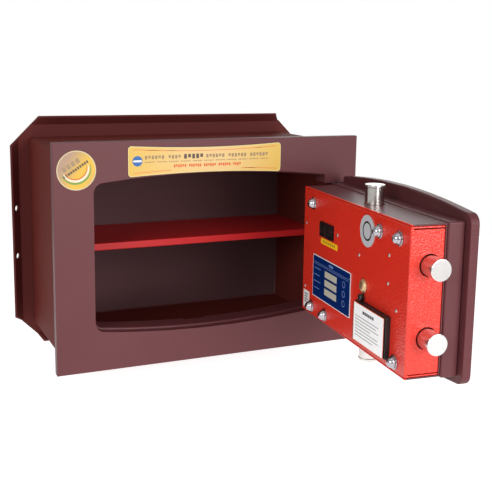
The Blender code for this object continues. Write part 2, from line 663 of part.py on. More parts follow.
def make_boltwork(door):
    """The racks sit on three sides of the pinion, so that one turn throws all four bolts."""
    back = 8 * MM
    for sign, name, (low, high) in ((1, "top", TOP_RACK_W), (-1, "bottom", BOTTOM_RACK_W)):
        slide = empty(f"{name}_slide", door.at(TOP_BOLT_U, BOLT_W), door.pin_turn)
        tip = CASE_HALF + BOLT_OUT
        end = 38.4 * MM if sign > 0 else 58 * MM
        rod_mesh = turned(bolt(tip, end), axis=(0, 0, sign), sides=ROUND)
        piece(f"{name}_bolt", rod_mesh, "chrome", slide, smooth=True)
        side = -sign  # the top rack is on the hinge side of the pinion
        span = (-10 * MM, 44 * MM) if sign > 0 else (-40 * MM, 10 * MM)
        edge = rack_teeth(span[0], span[1], math.pi * MODULE / 2)
        outline = [(side * (PITCH_R - height), along) for along, height in edge]
        outline += [(side * (PITCH_R + back), span[1]), (side * (PITCH_R + back), span[0])]
        rack = slab_w(outline, (low, high), SPINDLE_U, SPINDLE_Z)
        bmesh.ops.translate(rack, vec=(TOP_BOLT_U, -(BOLT_W - HINGE_W), 0), verts=rack.verts)
        rack = piece(f"{name}_rack", rack, "steel", slide)
        joint = BOLT_W - HINGE_W
        arm_u = (TOP_BOLT_U - 8 * MM, SPINDLE_U + side * (PITCH_R + 4 * MM))
        arm_z = (26 * MM, end - GAP) if sign > 0 else (46 * MM, end - GAP)
        arm = box((TOP_BOLT_U - arm_u[1], TOP_BOLT_U - arm_u[0]),
                  (low - HINGE_W - joint, high - HINGE_W - joint),
                  sorted((sign * arm_z[0], sign * arm_z[1])))
        combine(rack, cutter(f"{name}_rack_arm", arm, slide), "UNION")

    slide = empty("side_slide", door.at(CASE_END, BOLT_W), door.pin_turn)
    end = 268.3 * MM
    for sign, name in ((1, "upper"), (-1, "lower")):
        side = turned(bolt(CASE_END + BOLT_OUT, end), (CASE_END, 0, sign * SIDE_BOLT_Z), (-1, 0, 0))
        piece(f"side_bolt_{name}", side, "chrome", slide, smooth=True)
    low, high = SIDE_RACK_W
    span = (-13 * MM, 50 * MM)
    edge = rack_teeth(span[0], span[1], 0)
    outline = [(along, PITCH_R - height) for along, height in edge]
    outline += [(span[1], PITCH_R + back), (span[0], PITCH_R + back)]
    carriage = slab_w(outline, (low, high), SPINDLE_U, SPINDLE_Z)
    bmesh.ops.translate(carriage, vec=(CASE_END, -(BOLT_W - HINGE_W), 0), verts=carriage.verts)
    carriage = piece("side_carriage", carriage, "steel", slide)
    back = CASE_END - end + GAP
    plate = box((back, back + 6 * MM), (-6 * MM, 8 * MM), (-48 * MM, 48 * MM))
    combine(carriage, cutter("carriage_plate", plate, slide), "UNION")


def make_knob(door):
    spin = empty("knob_turn", door.at(SPINDLE_U, 0, SPINDLE_Z), door.pin_turn)
    inward = (0, 1, 0)
    shaft = [(0, -20 * MM), (SPINDLE_R, -20 * MM), (SPINDLE_R, 68 * MM), (0, 68 * MM)]
    spindle = piece("spindle_pinion", turned(shaft, axis=inward, sides=24), "steel", spin, smooth=True)
    gear = slab([(x, z) for x, z in pinion_outline()], 36 * MM, 55 * MM)
    combine(spindle, cutter("pinion_teeth", gear, spin), "UNION")
    grip = [(0, 38), (17, 38), (20, 36.5), (21.5, 33), (21.5, 12), (19, 9), (14, 7.5), (12.5, 4.2), (0, 4.2)]
    grip = [(r * MM, h * MM) for r, h in grip]
    knob = piece("knob", turned(grip, axis=(0, -1, 0), sides=36), "black_plastic", spin, smooth=True)
    bore = rod((0, -10 * MM, 0), inward, SPINDLE_R + GAP, 21 * MM, 24)
    combine(knob, cutter("knob_bore", bore, spin))
    rose = [(SPINDLE_R + 1 * MM, 0.3), (27, 0.3), (27, 2.4), (25, 3.9), (SPINDLE_R + 1 * MM, 3.9)]
    rose = [(r if r < 1 else r * MM, h * MM) for r, h in rose]
    door.piece("knob_rose", door.turned_w(rose, SPINDLE_U, SPINDLE_Z, 0, 36, True, True), "chrome",
               smooth=True)


def make_keypad(door):
    """A keypad with twelve keys, each sliding in its own opening over a rubber mat."""
    half_w, half_h = KEYPAD_W / 2, KEYPAD_H / 2
    u, z = (KEYPAD_U - half_w, KEYPAD_U + half_w), (KEYPAD_Z - half_h, KEYPAD_Z + half_h)
    case = door.piece("keypad_case", door.box(u, (-KEYPAD_T, -GAP), z), "black_plastic")
    bevel(case, 3 * MM, 2)
    wall = 2.5 * MM
    door.cut(case, "keypad_hollow", door.box((u[0] + wall, u[1] - wall), (-KEYPAD_T + wall, 5 * MM),
                                             (z[0] + wall, z[1] - wall)))
    mat_w = (-KEYPAD_T + wall + 2.8 * MM, -KEYPAD_T + wall + 4.8 * MM)
    mat = door.box((u[0] + wall + GAP, u[1] - wall - GAP), mat_w, (z[0] + wall + GAP, z[1] - wall - GAP))
    door.piece("keypad_mat", mat, "grey_plastic")
    half = KEY_SIZE / 2
    for number in range(12):
        row, column = divmod(number, 3)
        key_u = KEYPAD_U + (1 - column) * KEY_PITCH
        key_z = KEYPAD_Z + (1.5 - row) * KEY_PITCH
        opening = half + 0.4 * MM
        hole = door.box((key_u - opening, key_u + opening), (-20 * MM, -5 * MM),
                        (key_z - opening, key_z + opening))
        door.cut(case, f"key_opening_{number + 1}", hole)
        slide = empty(f"key_{number + 1}_press", door.at(key_u, -KEYPAD_T, key_z), door.pin_turn)
        cap = box((-half, half), (-1.6 * MM, wall + 1 * MM), (-half, half))
        key = piece(f"key_{number + 1:02d}", cap, "grey_plastic", slide)
        bevel(key, 1 * MM, 1)


def main():
    clear_scene()
    make_front_plate()
    make_hinge_blocks()
    make_rebate()
    make_body_shell()
    make_rear_plate()
    make_shelf()
    make_front_labels()
    door = Door()
    make_hinge(door)
    make_outer_plate(door)
    make_inner_plate(door)
    make_housing(door)
    make_cover_fittings(door)
    make_labels(door)
    make_electrics(door)
    make_boltwork(door)
    make_knob(door)
    make_keypad(door)


main()
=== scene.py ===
"""Wall safe: enamel, metal and printed finishes, and the fine pieces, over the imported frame.

The frame's solids keep their places and sizes. Each class below dresses one sub-assembly and adds
the small pieces that its solids leave plain. All lengths are in metres, in the frame's own axes:
+X to the right as the user faces the safe, +Y into the wall and +Z up.
"""

import json
import logging
import math
from collections.abc import Iterable, Sequence
from dataclasses import dataclass, field
from enum import StrEnum
from typing import Protocol

import bmesh
import bpy
from mathutils import Matrix, Vector


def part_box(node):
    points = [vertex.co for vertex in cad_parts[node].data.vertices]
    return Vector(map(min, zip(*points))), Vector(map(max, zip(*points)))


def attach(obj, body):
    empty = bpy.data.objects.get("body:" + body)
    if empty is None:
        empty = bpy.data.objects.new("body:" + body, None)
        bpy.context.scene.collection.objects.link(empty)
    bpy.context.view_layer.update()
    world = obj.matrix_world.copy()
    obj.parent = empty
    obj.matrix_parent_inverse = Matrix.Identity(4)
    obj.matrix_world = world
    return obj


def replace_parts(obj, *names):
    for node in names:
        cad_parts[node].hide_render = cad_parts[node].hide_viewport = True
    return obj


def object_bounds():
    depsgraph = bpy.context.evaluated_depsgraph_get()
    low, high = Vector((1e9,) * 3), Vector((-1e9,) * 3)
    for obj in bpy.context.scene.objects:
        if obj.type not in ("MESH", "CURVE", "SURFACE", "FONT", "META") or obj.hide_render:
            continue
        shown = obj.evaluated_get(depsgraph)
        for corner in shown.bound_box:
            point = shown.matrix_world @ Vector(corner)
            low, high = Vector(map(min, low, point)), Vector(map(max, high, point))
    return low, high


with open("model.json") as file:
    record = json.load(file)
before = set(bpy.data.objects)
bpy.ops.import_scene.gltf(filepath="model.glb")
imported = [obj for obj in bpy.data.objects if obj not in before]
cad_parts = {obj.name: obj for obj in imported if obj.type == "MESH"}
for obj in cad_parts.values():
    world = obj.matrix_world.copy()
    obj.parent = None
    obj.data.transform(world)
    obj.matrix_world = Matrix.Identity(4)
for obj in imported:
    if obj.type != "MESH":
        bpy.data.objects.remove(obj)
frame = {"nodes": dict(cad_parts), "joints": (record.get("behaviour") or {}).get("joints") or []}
CAD_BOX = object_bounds()

MM = 0.001
IMAGE_SIDE = 492
log = logging.getLogger("wall_safe")

Colour = tuple[float, float, float]
Point = tuple[float, float]


class Body(StrEnum):
    """The moving bodies of the safe."""

    SAFE = "safe_body"
    DOOR = "door"
    KNOB = "knob_body"
    TOP_BOLT = "top_bolt_body"
    BOTTOM_BOLT = "bottom_bolt_body"
    SIDE_BOLTS = "side_bolt_body"


class Slot(StrEnum):
    """The record's material slots."""

    MAROON = "maroon"
    RED = "red"
    STEEL = "steel"
    CHROME = "chrome"
    BRASS = "brass"
    BLACK = "black_plastic"
    GREY = "grey_plastic"
    CARD = "white_card"
    GOLD = "gold_label"
    BLUE = "blue_plate"
    SILVER = "silver_label"


# ---------------------------------------------------------------- shader nodes


@dataclass(frozen=True)
class Wire:
    """A node's output. Arithmetic on it adds Math nodes."""

    board: "NodeBoard"
    socket: bpy.types.NodeSocket

    def math(self, operation: str, *values: "Wire | float", clamp: bool = False) -> "Wire":
        """Adds one Math node.

        Args:
            operation: The node's operation.
            values: What goes into its sockets, in order.
            clamp: Whether the result is kept between 0 and 1.

        Returns:
            The node's output.
        """
        settings = {"operation": operation, "use_clamp": clamp}
        return self.board.add("ShaderNodeMath", settings, dict(enumerate(values)))

    def __add__(self, other: "Wire | float") -> "Wire":
        """self + other"""
        return self.math("ADD", self, other)

    def __radd__(self, other: float) -> "Wire":
        """other + self"""
        return self.math("ADD", other, self)

    def __sub__(self, other: "Wire | float") -> "Wire":
        """self - other"""
        return self.math("SUBTRACT", self, other)

    def __rsub__(self, other: float) -> "Wire":
        """other - self"""
        return self.math("SUBTRACT", other, self)

    def __mul__(self, other: "Wire | float") -> "Wire":
        """self * other"""
        return self.math("MULTIPLY", self, other)

    def __rmul__(self, other: float) -> "Wire":
        """other * self"""
        return self.math("MULTIPLY", other, self)

    def __abs__(self) -> "Wire":
        """abs(self)"""
        return self.math("ABSOLUTE", self)

    def __gt__(self, other: "Wire | float") -> "Wire":
        """1 where self is above other, and 0 elsewhere."""
        return self.math("GREATER_THAN", self, other)

    def step(self, low: float, high: float) -> "Wire":
        """0 below low, 1 above high, and a straight rise between them.

        Args:
            low: Where the rise starts.
            high: Where it ends.

        Returns:
            A value between 0 and 1.
        """
        return self.math("MULTIPLY", self - low, 1 / (high - low), clamp=True)


class NodeBoard:
    """One material's nodes, with a Principled shader at the end."""

    def __init__(self, name: str) -> None:
        """Starts a material with nothing but its shader and output.

        Args:
            name: The material's name.
        """
        self.material = bpy.data.materials.new(name)
        self.material.use_nodes = True
        self.tree = self.material.node_tree
        self.shader = self.tree.nodes["Principled BSDF"]

    def feed(self, socket: bpy.types.NodeSocket, value: "Wire | float | Sequence[float]") -> None:
        """Links a wire to a socket, or sets the socket's own value.

        Args:
            socket: The input.
            value: A wire, a number, or a colour or vector of three numbers.
        """
        if isinstance(value, Wire):
            self.tree.links.new(value.socket, socket)
        elif socket.type == "RGBA":
            socket.default_value = (*value[:3], 1.0)
        else:
            socket.default_value = value

    def add(self, kind: str, settings: dict | None = None, inputs: dict | None = None,
            output: int | str = 0) -> Wire:
        """Adds any node.

        Args:
            kind: The node's type.
            settings: Its properties, set first.
            inputs: Values or wires for its sockets, by name or number.
            output: Which output to return.

        Returns:
            The chosen output.
        """
        node = self.tree.nodes.new(kind)
        for key, value in (settings or {}).items():
            setattr(node, key, value)
        for key, value in (inputs or {}).items():
            self.feed(node.inputs[key], value)
        return Wire(self, node.outputs[output])

    def place(self) -> Wire:
        """The point on the surface, in the frame's axes at rest."""
        return self.add("ShaderNodeTexCoord", output="Object")

    def facing(self) -> Wire:
        """The surface's true normal in the object's own axes."""
        return self.add("ShaderNodeTexCoord", output="Normal")

    def along(self, vector: Wire, direction: Sequence[float]) -> Wire:
        """How far a vector reaches along a direction.

        Args:
            vector: The vector, such as a place or a normal.
            direction: The direction, of length 1.

        Returns:
            The dot product.
        """
        settings = {"operation": "DOT_PRODUCT"}
        return self.add("ShaderNodeVectorMath", settings, {0: vector, 1: tuple(direction)}, "Value")

    def noise(self, place: Wire, size: float, detail: float = 2.0) -> Wire:
        """Soft noise whose blobs are about size wide.

        Args:
            place: Where it is read.
            size: The blobs' width.
            detail: How many finer layers it has.

        Returns:
            A value about 0.5.
        """
        return self.add("ShaderNodeTexNoise", None, {"Vector": place, "Scale": 1 / size, "Detail": detail})

    def lines(self, distance: Wire, size: float, detail: float = 3.0) -> Wire:
        """Noise that changes along one distance only, as brushing or turning leaves.

        Args:
            distance: The distance across the lines.
            size: The lines' width.
            detail: How many finer layers it has.

        Returns:
            A value about 0.5.
        """
        settings = {"noise_dimensions": "1D"}
        return self.add("ShaderNodeTexNoise", settings, {"W": distance, "Scale": 1 / size, "Detail": detail})

    def grain(self, place: Wire, size: float) -> Wire:
        """Rounded pebbles about size wide, as in leather-grain enamel.

        Args:
            place: Where it is read.
            size: The pebbles' width.

        Returns:
            A height that is highest in the middle of each pebble.
        """
        warp = self.add("ShaderNodeTexNoise", None, {"Vector": place, "Scale": 0.6 / size}, "Color")
        settings = {"operation": "MULTIPLY_ADD"}
        moved = self.add("ShaderNodeVectorMath", settings, {0: warp, 1: (size,) * 3, 2: place})
        settings = {"feature": "SMOOTH_F1"}
        inputs = {"Vector": moved, "Scale": 1 / size, "Smoothness": 0.7}
        return 1 - self.add("ShaderNodeTexVoronoi", settings, inputs)

    def mix(self, factor: "Wire | float", low: "Wire | Colour", high: "Wire | Colour") -> Wire:
        """A colour between two others.

        Args:
            factor: 0 for low, 1 for high.
            low: The first colour.
            high: The second colour.

        Returns:
            The mixed colour.
        """
        settings = {"data_type": "RGBA"}
        return self.add("ShaderNodeMix", settings, {0: factor, 6: low, 7: high}, 2)

    def bump(self, height: Wire, depth: float) -> Wire:
        """A normal that follows a height.

        Args:
            height: The height, about 0 to 1.
            depth: What a height of 1 stands for.

        Returns:
            The normal.
        """
        return self.add("ShaderNodeBump", None, {"Height": height, "Distance": depth})

    def surface(self, **inputs: "Wire | float | Colour") -> bpy.types.Material:
        """Feeds the shader and returns the material.

        Args:
            inputs: Values or wires by socket name, with _ for each space.

        Returns:
            The finished material.
        """
        for key, value in inputs.items():
            self.feed(self.shader.inputs[key.replace("_", " ")], value)
        return self.material


# ---------------------------------------------------------------- finishes


MAROON: Colour = (0.110, 0.030, 0.034)
LOCK_RED: Colour = (0.68, 0.029, 0.014)


class Patch(Protocol):
    """A part of a painted piece that has another colour."""

    colour: Colour

    def mask(self, board: NodeBoard, place: Wire) -> Wire:
        """Gives 1 on the patch and 0 elsewhere."""


@dataclass(frozen=True)
class PaintedSheenBack:
    """The inner face of the rear plate, inside the shell, painted paler and greyer as a painted sheen.

    Args:
        colour: The paler, greyer colour that paints the sheen.
        reach: How far it goes sideways and upwards from the frame's centre.
        fade: How wide its soft edge is.
    """

    # A paler, greyer maroon: painted sheen on the inner back wall.
    colour: Colour = (0.118, 0.056, 0.060)
    reach: Point = (179 * MM, 120 * MM)
    fade: float = 2 * MM

    def mask(self, board: NodeBoard, place: Wire) -> Wire:
        """Gives 1 on the inner face and 0 elsewhere.

        Args:
            board: The material's nodes.
            place: The point on the surface.

        Returns:
            The mask.
        """
        across = abs(board.along(place, (1, 0, 0))).step(self.reach[0] + self.fade, self.reach[0])
        upward = abs(board.along(place, (0, 0, 1))).step(self.reach[1] + self.fade, self.reach[1])
        inside = board.along(board.facing(), (0, -1, 0)) > 0.5
        return across * upward * inside


@dataclass(frozen=True)
class SprayedRim:
    """The housing's rim, sprayed with the cover's colour.

    Args:
        inward: The direction in which the rim stands up.
        start: Where the sprayed band begins along it.
        colour: The cover's colour.
        fade: How wide the band's soft edge is.
    """

    inward: tuple[float, float, float]
    start: float
    colour: Colour = LOCK_RED
    fade: float = 0.6 * MM

    def mask(self, board: NodeBoard, place: Wire) -> Wire:
        """Gives 1 on the rim and 0 elsewhere."""
        return board.along(place, self.inward).step(self.start, self.start + self.fade)


@dataclass(frozen=True)
class Enamel:
    """Baked enamel on steel, smooth or with a leather grain.

    Args:
        name: The material's name.
        colour: The paint's colour.
        grain: The width of a grain.
        relief: How far a grain stands up.
        roughness: The roughness between grains.
        cloud_and_glint: How much darker the paint's random clouds are, and how pale the painted glints on the
            grain tops are.
        gloss: How strongly it reflects.
        cut_faces: Faces along this direction also show the saw lines of the sheet's cut edge.
        patch: A part of the piece that has another colour.
        saw_line: The width of a saw line.
        saw_relief: How many times a grain's relief a saw line has.
        cloud: The width of the paint's soft shades.
    """

    name: str
    colour: Colour
    grain: float = 0.9 * MM
    relief: float = 0.02 * MM
    roughness: float = 0.42
    cloud_and_glint: float = 0.06
    gloss: float = 0.25
    cut_faces: tuple[float, float, float] | None = None
    patch: Patch | None = None
    saw_line: float = 2.6 * MM
    saw_relief: float = 6
    cloud: float = 60 * MM

    def make(self) -> bpy.types.Material:
        """Makes the material.

        Returns:
            The material.
        """
        board = NodeBoard(self.name)
        place = board.place()
        pebbles = board.grain(place, self.grain)
        orange_peel = board.noise(place, 5 * self.grain, 2.0)
        clouds = board.noise(place, self.cloud, 3.0)
        dust = board.noise(place, 0.35 * self.grain, 1.0)
        height = 0.62 * pebbles + 0.28 * orange_peel + 0.1 * dust
        if self.cut_faces is not None:
            on_cut = abs(board.along(board.facing(), self.cut_faces)).step(0.93, 0.98)
            saw = board.lines(board.along(place, (0, 0, 1)), self.saw_line, 2.0)
            height = height + self.saw_relief * on_cut * saw
        # pale paints glints on the grain tops; deep darkens the paint's random clouds.
        pale = tuple(c + (0.5 - c) * self.cloud_and_glint for c in self.colour)
        deep = tuple(c * (1 - 1.2 * self.cloud_and_glint) for c in self.colour)
        tint = board.mix(clouds.step(0.3, 0.7), deep, self.colour)
        # Painted glints: pale specks on the grain tops where the fine noise is high.
        tint = board.mix((dust * pebbles).step(0.42, 0.75), tint, pale)
        if self.patch is not None:
            tint = board.mix(self.patch.mask(board, place), tint, self.patch.colour)
        rough = self.roughness + 0.12 * (clouds - 0.5) + 0.1 * (dust - 0.5)
        return board.surface(Base_Color=tint, Roughness=rough, Normal=board.bump(height, self.relief),
                             Specular_IOR_Level=self.gloss)


@dataclass(frozen=True)
class TurnedMetal:
    """Bright metal with fine lathe or brush lines.

    Args:
        name: The material's name.
        colour: The metal's colour.
        axis: The direction across the lines.
        roughness: Its roughness.
        line: The width of a line.
        depth: The depth of a line.
        smear: The width of a duller smear.
        stain: The width of a stain.
    """

    name: str
    colour: Colour
    axis: tuple[float, float, float] = (0, 0, 1)
    roughness: float = 0.16
    line: float = 0.35 * MM
    depth: float = 0.0006 * MM
    smear: float = 9 * MM
    stain: float = 1.5 * MM

    def make(self) -> bpy.types.Material:
        """Makes the material.

        Returns:
            The material.
        """
        board = NodeBoard(self.name)
        place = board.place()
        rings = board.lines(board.along(place, self.axis), self.line)
        smears = board.noise(place, self.smear, 2.0)
        stains = board.noise(place, self.stain, 2.0)
        dull = tuple(0.72 * c for c in self.colour)
        tint = board.mix(0.5 * smears.step(0.4, 0.8), self.colour, dull)
        rough = self.roughness + 0.06 * (smears - 0.45) + 0.08 * (rings - 0.5) + 0.03 * (stains - 0.5)
        return board.surface(Base_Color=tint, Metallic=1.0, Roughness=rough,
                             Normal=board.bump(rings, self.depth))


@dataclass(frozen=True)
class Moulded:
    """Moulded plastic with a fine spark-eroded texture.

    Args:
        name: The material's name.
        colour: The plastic's colour.
        roughness: Its roughness.
        grain: The width of a pit.
        depth: The depth of a pit.
        rub: The width of a patch rubbed pale.
    """

    name: str
    colour: Colour
    roughness: float = 0.45
    grain: float = 0.35 * MM
    depth: float = 0.01 * MM
    rub: float = 12 * MM

    def make(self) -> bpy.types.Material:
        """Makes the material.

        Returns:
            The material.
        """
        board = NodeBoard(self.name)
        place = board.place()
        pits = board.noise(place, self.grain, 2.0)
        rubbed = board.noise(place, self.rub, 3.0)
        pale = tuple(1.5 * c for c in self.colour)
        tint = board.mix(rubbed.step(0.45, 0.8), self.colour, pale)
        rough = self.roughness + 0.15 * (rubbed - 0.5)
        return board.surface(Base_Color=tint, Roughness=rough, Normal=board.bump(pits, self.depth))


@dataclass(frozen=True)
class Foil:
    """A label or print, whose colour can shade from a middle line towards both ends.

    Args:
        name: The material's name.
        colour: The colour at the middle.
        ends: The colour towards both ends.
        middle: A point in the middle.
        reach: From the middle to where the ends' colour is full.
        across: The direction from end to end.
        roughness: Its roughness.
        metallic: How metallic the foil is.
        gloss: How strongly it reflects.
        fibre: The width of the paper's fibres.
        ripple: The width of its ripples.
        relief: How far a ripple stands up.
    """

    name: str
    colour: Colour
    ends: Colour | None = None
    middle: tuple[float, float, float] = (0, 0, 0)
    reach: float = 60 * MM
    across: tuple[float, float, float] = (1, 0, 0)
    roughness: float = 0.38
    metallic: float = 0.0
    gloss: float = 0.25
    fibre: float = 0.5 * MM
    ripple: float = 14 * MM
    relief: float = 0.05 * MM

    def make(self) -> bpy.types.Material:
        """Makes the material.

        Returns:
            The material.
        """
        board = NodeBoard(self.name)
        place = board.place()
        fibres = board.noise(place, self.fibre, 2.0)
        ripples = board.noise(place, self.ripple, 1.0)
        start = sum(a * b for a, b in zip(self.across, self.middle))
        outward = abs(board.along(place, self.across) - start).step(0.2 * self.reach, self.reach)
        tint = board.mix(outward, self.colour, self.ends or self.colour)
        worn = tuple(0.9 * c for c in self.colour)
        tint = board.mix(0.35 * fibres.step(0.5, 0.8), tint, worn)
        rough = self.roughness + 0.2 * (ripples - 0.5)
        return board.surface(Base_Color=tint, Roughness=rough, Metallic=self.metallic,
                             Specular_IOR_Level=self.gloss,
                             Normal=board.bump(ripples + 0.1 * fibres, self.relief))


# ---------------------------------------------------------------- shapes


@dataclass(frozen=True)
class Plane:
    """A flat drawing plane in space: shapes are drawn in (a, b) and stand up along its normal."""

    origin: Vector
    right: Vector
    up: Vector

    @property
    def normal(self) -> Vector:
        """The direction in which the plane faces."""
        return self.right.cross(self.up)

    def matrix(self) -> Matrix:
        """Takes (a, b, height) to the frame's axes."""
        turn = Matrix((self.right, self.up, self.normal)).transposed().to_4x4()
        return Matrix.Translation(self.origin) @ turn

    def raised(self, height: float) -> "Plane":
        """A parallel plane, height further along the normal."""
        return Plane(self.origin + height * self.normal, self.right, self.up)


class Outline:
    """Closed outlines, as lists of (a, b) points in order."""

    @staticmethod
    def arc(centre: Point, radius: float, start: float, end: float, steps: int = 8) -> list[Point]:
        """Points on an arc.

        Args:
            centre: The arc's centre.
            radius: Its radius.
            start: The first angle, in degrees.
            end: The last angle, in degrees.
            steps: How many chords it has.

        Returns:
            The points, both ends included.
        """
        angles = [math.radians(start + (end - start) * k / steps) for k in range(steps + 1)]
        return [(centre[0] + radius * math.cos(t), centre[1] + radius * math.sin(t)) for t in angles]

    @classmethod
    def rounded(cls, a: Point, b: Point, radius: float, steps: int = 6) -> list[Point]:
        """A rectangle with round corners.

        Args:
            a: Its low and high ends across.
            b: Its low and high ends up.
            radius: The corners' radius.
            steps: How many chords a corner has.

        Returns:
            The points, anticlockwise.
        """
        corners = ((a[0], b[0], 180), (a[1], b[0], 270), (a[1], b[1], 0), (a[0], b[1], 90))
        points = []
        for x, y, start in corners:
            centre = (x + math.copysign(radius, sum(a) / 2 - x), y + math.copysign(radius, sum(b) / 2 - y))
            points += cls.arc(centre, radius, start, start + 90, steps)
        return points

    @classmethod
    def circle(cls, centre: Point, radius: float, steps: int = 48) -> list[Point]:
        """A full circle of steps points."""
        return cls.arc(centre, radius, 0, 360, steps)[:-1]

    @staticmethod
    def ribbon(path: Sequence[Point], width: float, closed: bool = False) -> list[list[Point]]:
        """Four-sided pieces that follow a path.

        Args:
            path: The line's middle.
            width: The line's width.
            closed: Whether the last point joins the first.

        Returns:
            One outline for each stretch between two points.
        """
        count = len(path)
        sides = []
        for k, (x, y) in enumerate(path):
            before = path[(k - 1) % count] if closed or k else path[0]
            after = path[(k + 1) % count] if closed or k < count - 1 else path[-1]
            run = Vector((after[0] - before[0], after[1] - before[1])).normalized() * width / 2
            sides.append(((x - run.y, y + run.x), (x + run.y, y - run.x)))
        last = count if closed else count - 1
        return [[*sides[k], *reversed(sides[(k + 1) % count])] for k in range(last)]


class Shape:
    """Gathers solids in one mesh, drawn on a plane, and turns them into a piece."""

    def __init__(self, plane: Plane) -> None:
        """Starts with nothing on the plane."""
        self.plane = plane
        self.bm = bmesh.new()

    def plate(self, outline: Sequence[Point], low: float, high: float) -> "Shape":
        """Adds a plate.

        Args:
            outline: Its outline.
            low: The height of its underside.
            high: The height of its top.

        Returns:
            This shape.
        """
        face = self.bm.faces.new([self.bm.verts.new((a, b, low)) for a, b in outline])
        grown = bmesh.ops.extrude_face_region(self.bm, geom=[face])["geom"]
        top = [v for v in grown if isinstance(v, bmesh.types.BMVert)]
        bmesh.ops.translate(self.bm, vec=(0, 0, high - low), verts=top)
        return self

    def line(self, path: Sequence[Point], width: float, low: float, high: float,
             closed: bool = False) -> "Shape":
        """Adds a raised line along a path.

        Args:
            path: Its middle.
            width: Its width.
            low: The height of its underside.
            high: The height of its top.
            closed: Whether it joins up.

        Returns:
            This shape.
        """
        for outline in Outline.ribbon(path, width, closed):
            self.plate(outline, low, high)
        return self

    def turned(self, profile: Sequence[Point], centre: Point = (0, 0), steps: int = 40) -> "Shape":
        """Adds a turned solid.

        Args:
            profile: (radius, height) points, from the axis round to the axis.
            centre: Where its axis stands on the plane.
            steps: How many sides it has.

        Returns:
            This shape.
        """
        verts = [self.bm.verts.new((centre[0] + r, centre[1], h)) for r, h in profile]
        edges = [self.bm.edges.new(pair) for pair in zip(verts, verts[1:])]
        bmesh.ops.spin(self.bm, geom=verts + edges, cent=(*centre, 0), axis=(0, 0, 1), angle=math.tau,
                       steps=steps, use_merge=True)
        return self

    def finish(self, name: str, material: bpy.types.Material, body: str, slot: str,
               bevel: float = 0.0, smooth: float = 35.0) -> bpy.types.Object:
        """Makes the piece.

        Args:
            name: Its name.
            material: Its material.
            body: The body that it rides on.
            slot: The record's slot; it is passed on to mount, which does not use it.
            bevel: The width of its edges' bevel.
            smooth: Edges sharper than this angle, in degrees, stay sharp.

        Returns:
            The piece.
        """
        bmesh.ops.remove_doubles(self.bm, verts=self.bm.verts, dist=1e-7)
        bmesh.ops.transform(self.bm, matrix=self.plane.matrix(), verts=self.bm.verts)
        bmesh.ops.recalc_face_normals(self.bm, faces=self.bm.faces)
        mesh = bpy.data.meshes.new(name)
        self.bm.to_mesh(mesh)
        self.bm.free()
        return Workshop.mount(name, mesh, material, body, slot, bevel, smooth)


class Workshop:
    """Puts meshes into the scene as pieces of the object."""

    @staticmethod
    def mount(name: str, mesh: bpy.types.Mesh, material: bpy.types.Material, body: str, slot: str,
              bevel: float, smooth: float) -> bpy.types.Object:
        """Adds a mesh as a piece that rides on a body.

        Args:
            name: The piece's name.
            mesh: Its mesh, in the frame's axes.
            material: Its material.
            body: The body that it rides on.
            slot: Not used.
            bevel: The width of its edges' bevel.
            smooth: Edges sharper than this angle, in degrees, stay sharp.

        Returns:
            The piece.
        """
        mesh.materials.clear()
        mesh.materials.append(material)
        mesh.shade_smooth()
        mesh.set_sharp_from_angle(angle=math.radians(smooth))
        piece = bpy.data.objects.new(name, mesh)
        bpy.context.scene.collection.objects.link(piece)
        if bevel:
            edges = piece.modifiers.new("edges", "BEVEL")
            edges.width = bevel
            edges.segments = 3
            edges.limit_method = "ANGLE"
            edges.angle_limit = math.radians(max(smooth, 40))
            edges.harden_normals = True
        flat = piece.modifiers.new("flat_faces", "WEIGHTED_NORMAL")
        flat.keep_sharp = True
        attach(piece, str(body))
        log.info("piece %s on %s", name, body)
        return piece

    @classmethod
    def refine(cls, node: str, material: bpy.types.Material, body: str, slot: str,
               bevel: float = 0.5 * MM, smooth: float = 30.0) -> bpy.types.Object:
        """Stands a refined skin in for a solid: the same shape with soft edges and smooth curves.

        Args:
            node: The solid's node.
            material: The skin's material.
            body: The body that it rides on.
            slot: The record's slot; it is passed on to mount, which does not use it.
            bevel: The width of its edges' bevel.
            smooth: Edges sharper than this angle, in degrees, stay sharp.

        Returns:
            The skin.
        """
        bm = bmesh.new()
        bm.from_mesh(frame["nodes"][node].data)
        bmesh.ops.remove_doubles(bm, verts=bm.verts, dist=2e-6)
        bmesh.ops.dissolve_limit(bm, angle_limit=math.radians(1), verts=bm.verts, edges=bm.edges)
        mesh = bpy.data.meshes.new(f"{node}_skin")
        bm.to_mesh(mesh)
        bm.free()
        skin = cls.mount(f"{node}_skin", mesh, material, body, slot, bevel, smooth)
        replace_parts(skin, node)
        return skin

    @staticmethod
    def coat(nodes: Iterable[str], material: bpy.types.Material) -> None:
        """Gives solids that keep their own mesh a better material.

        Args:
            nodes: Their nodes.
            material: The material.
        """
        for node in nodes:
            solid = frame["nodes"][node]
            solid.data.materials.clear()
            solid.data.materials.append(material)
            log.info("coated %s with %s", node, material.name)


def joint(name: str) -> dict:
    """The record's joint of that name."""
    return next(j for j in frame["joints"] if j["name"] == name)


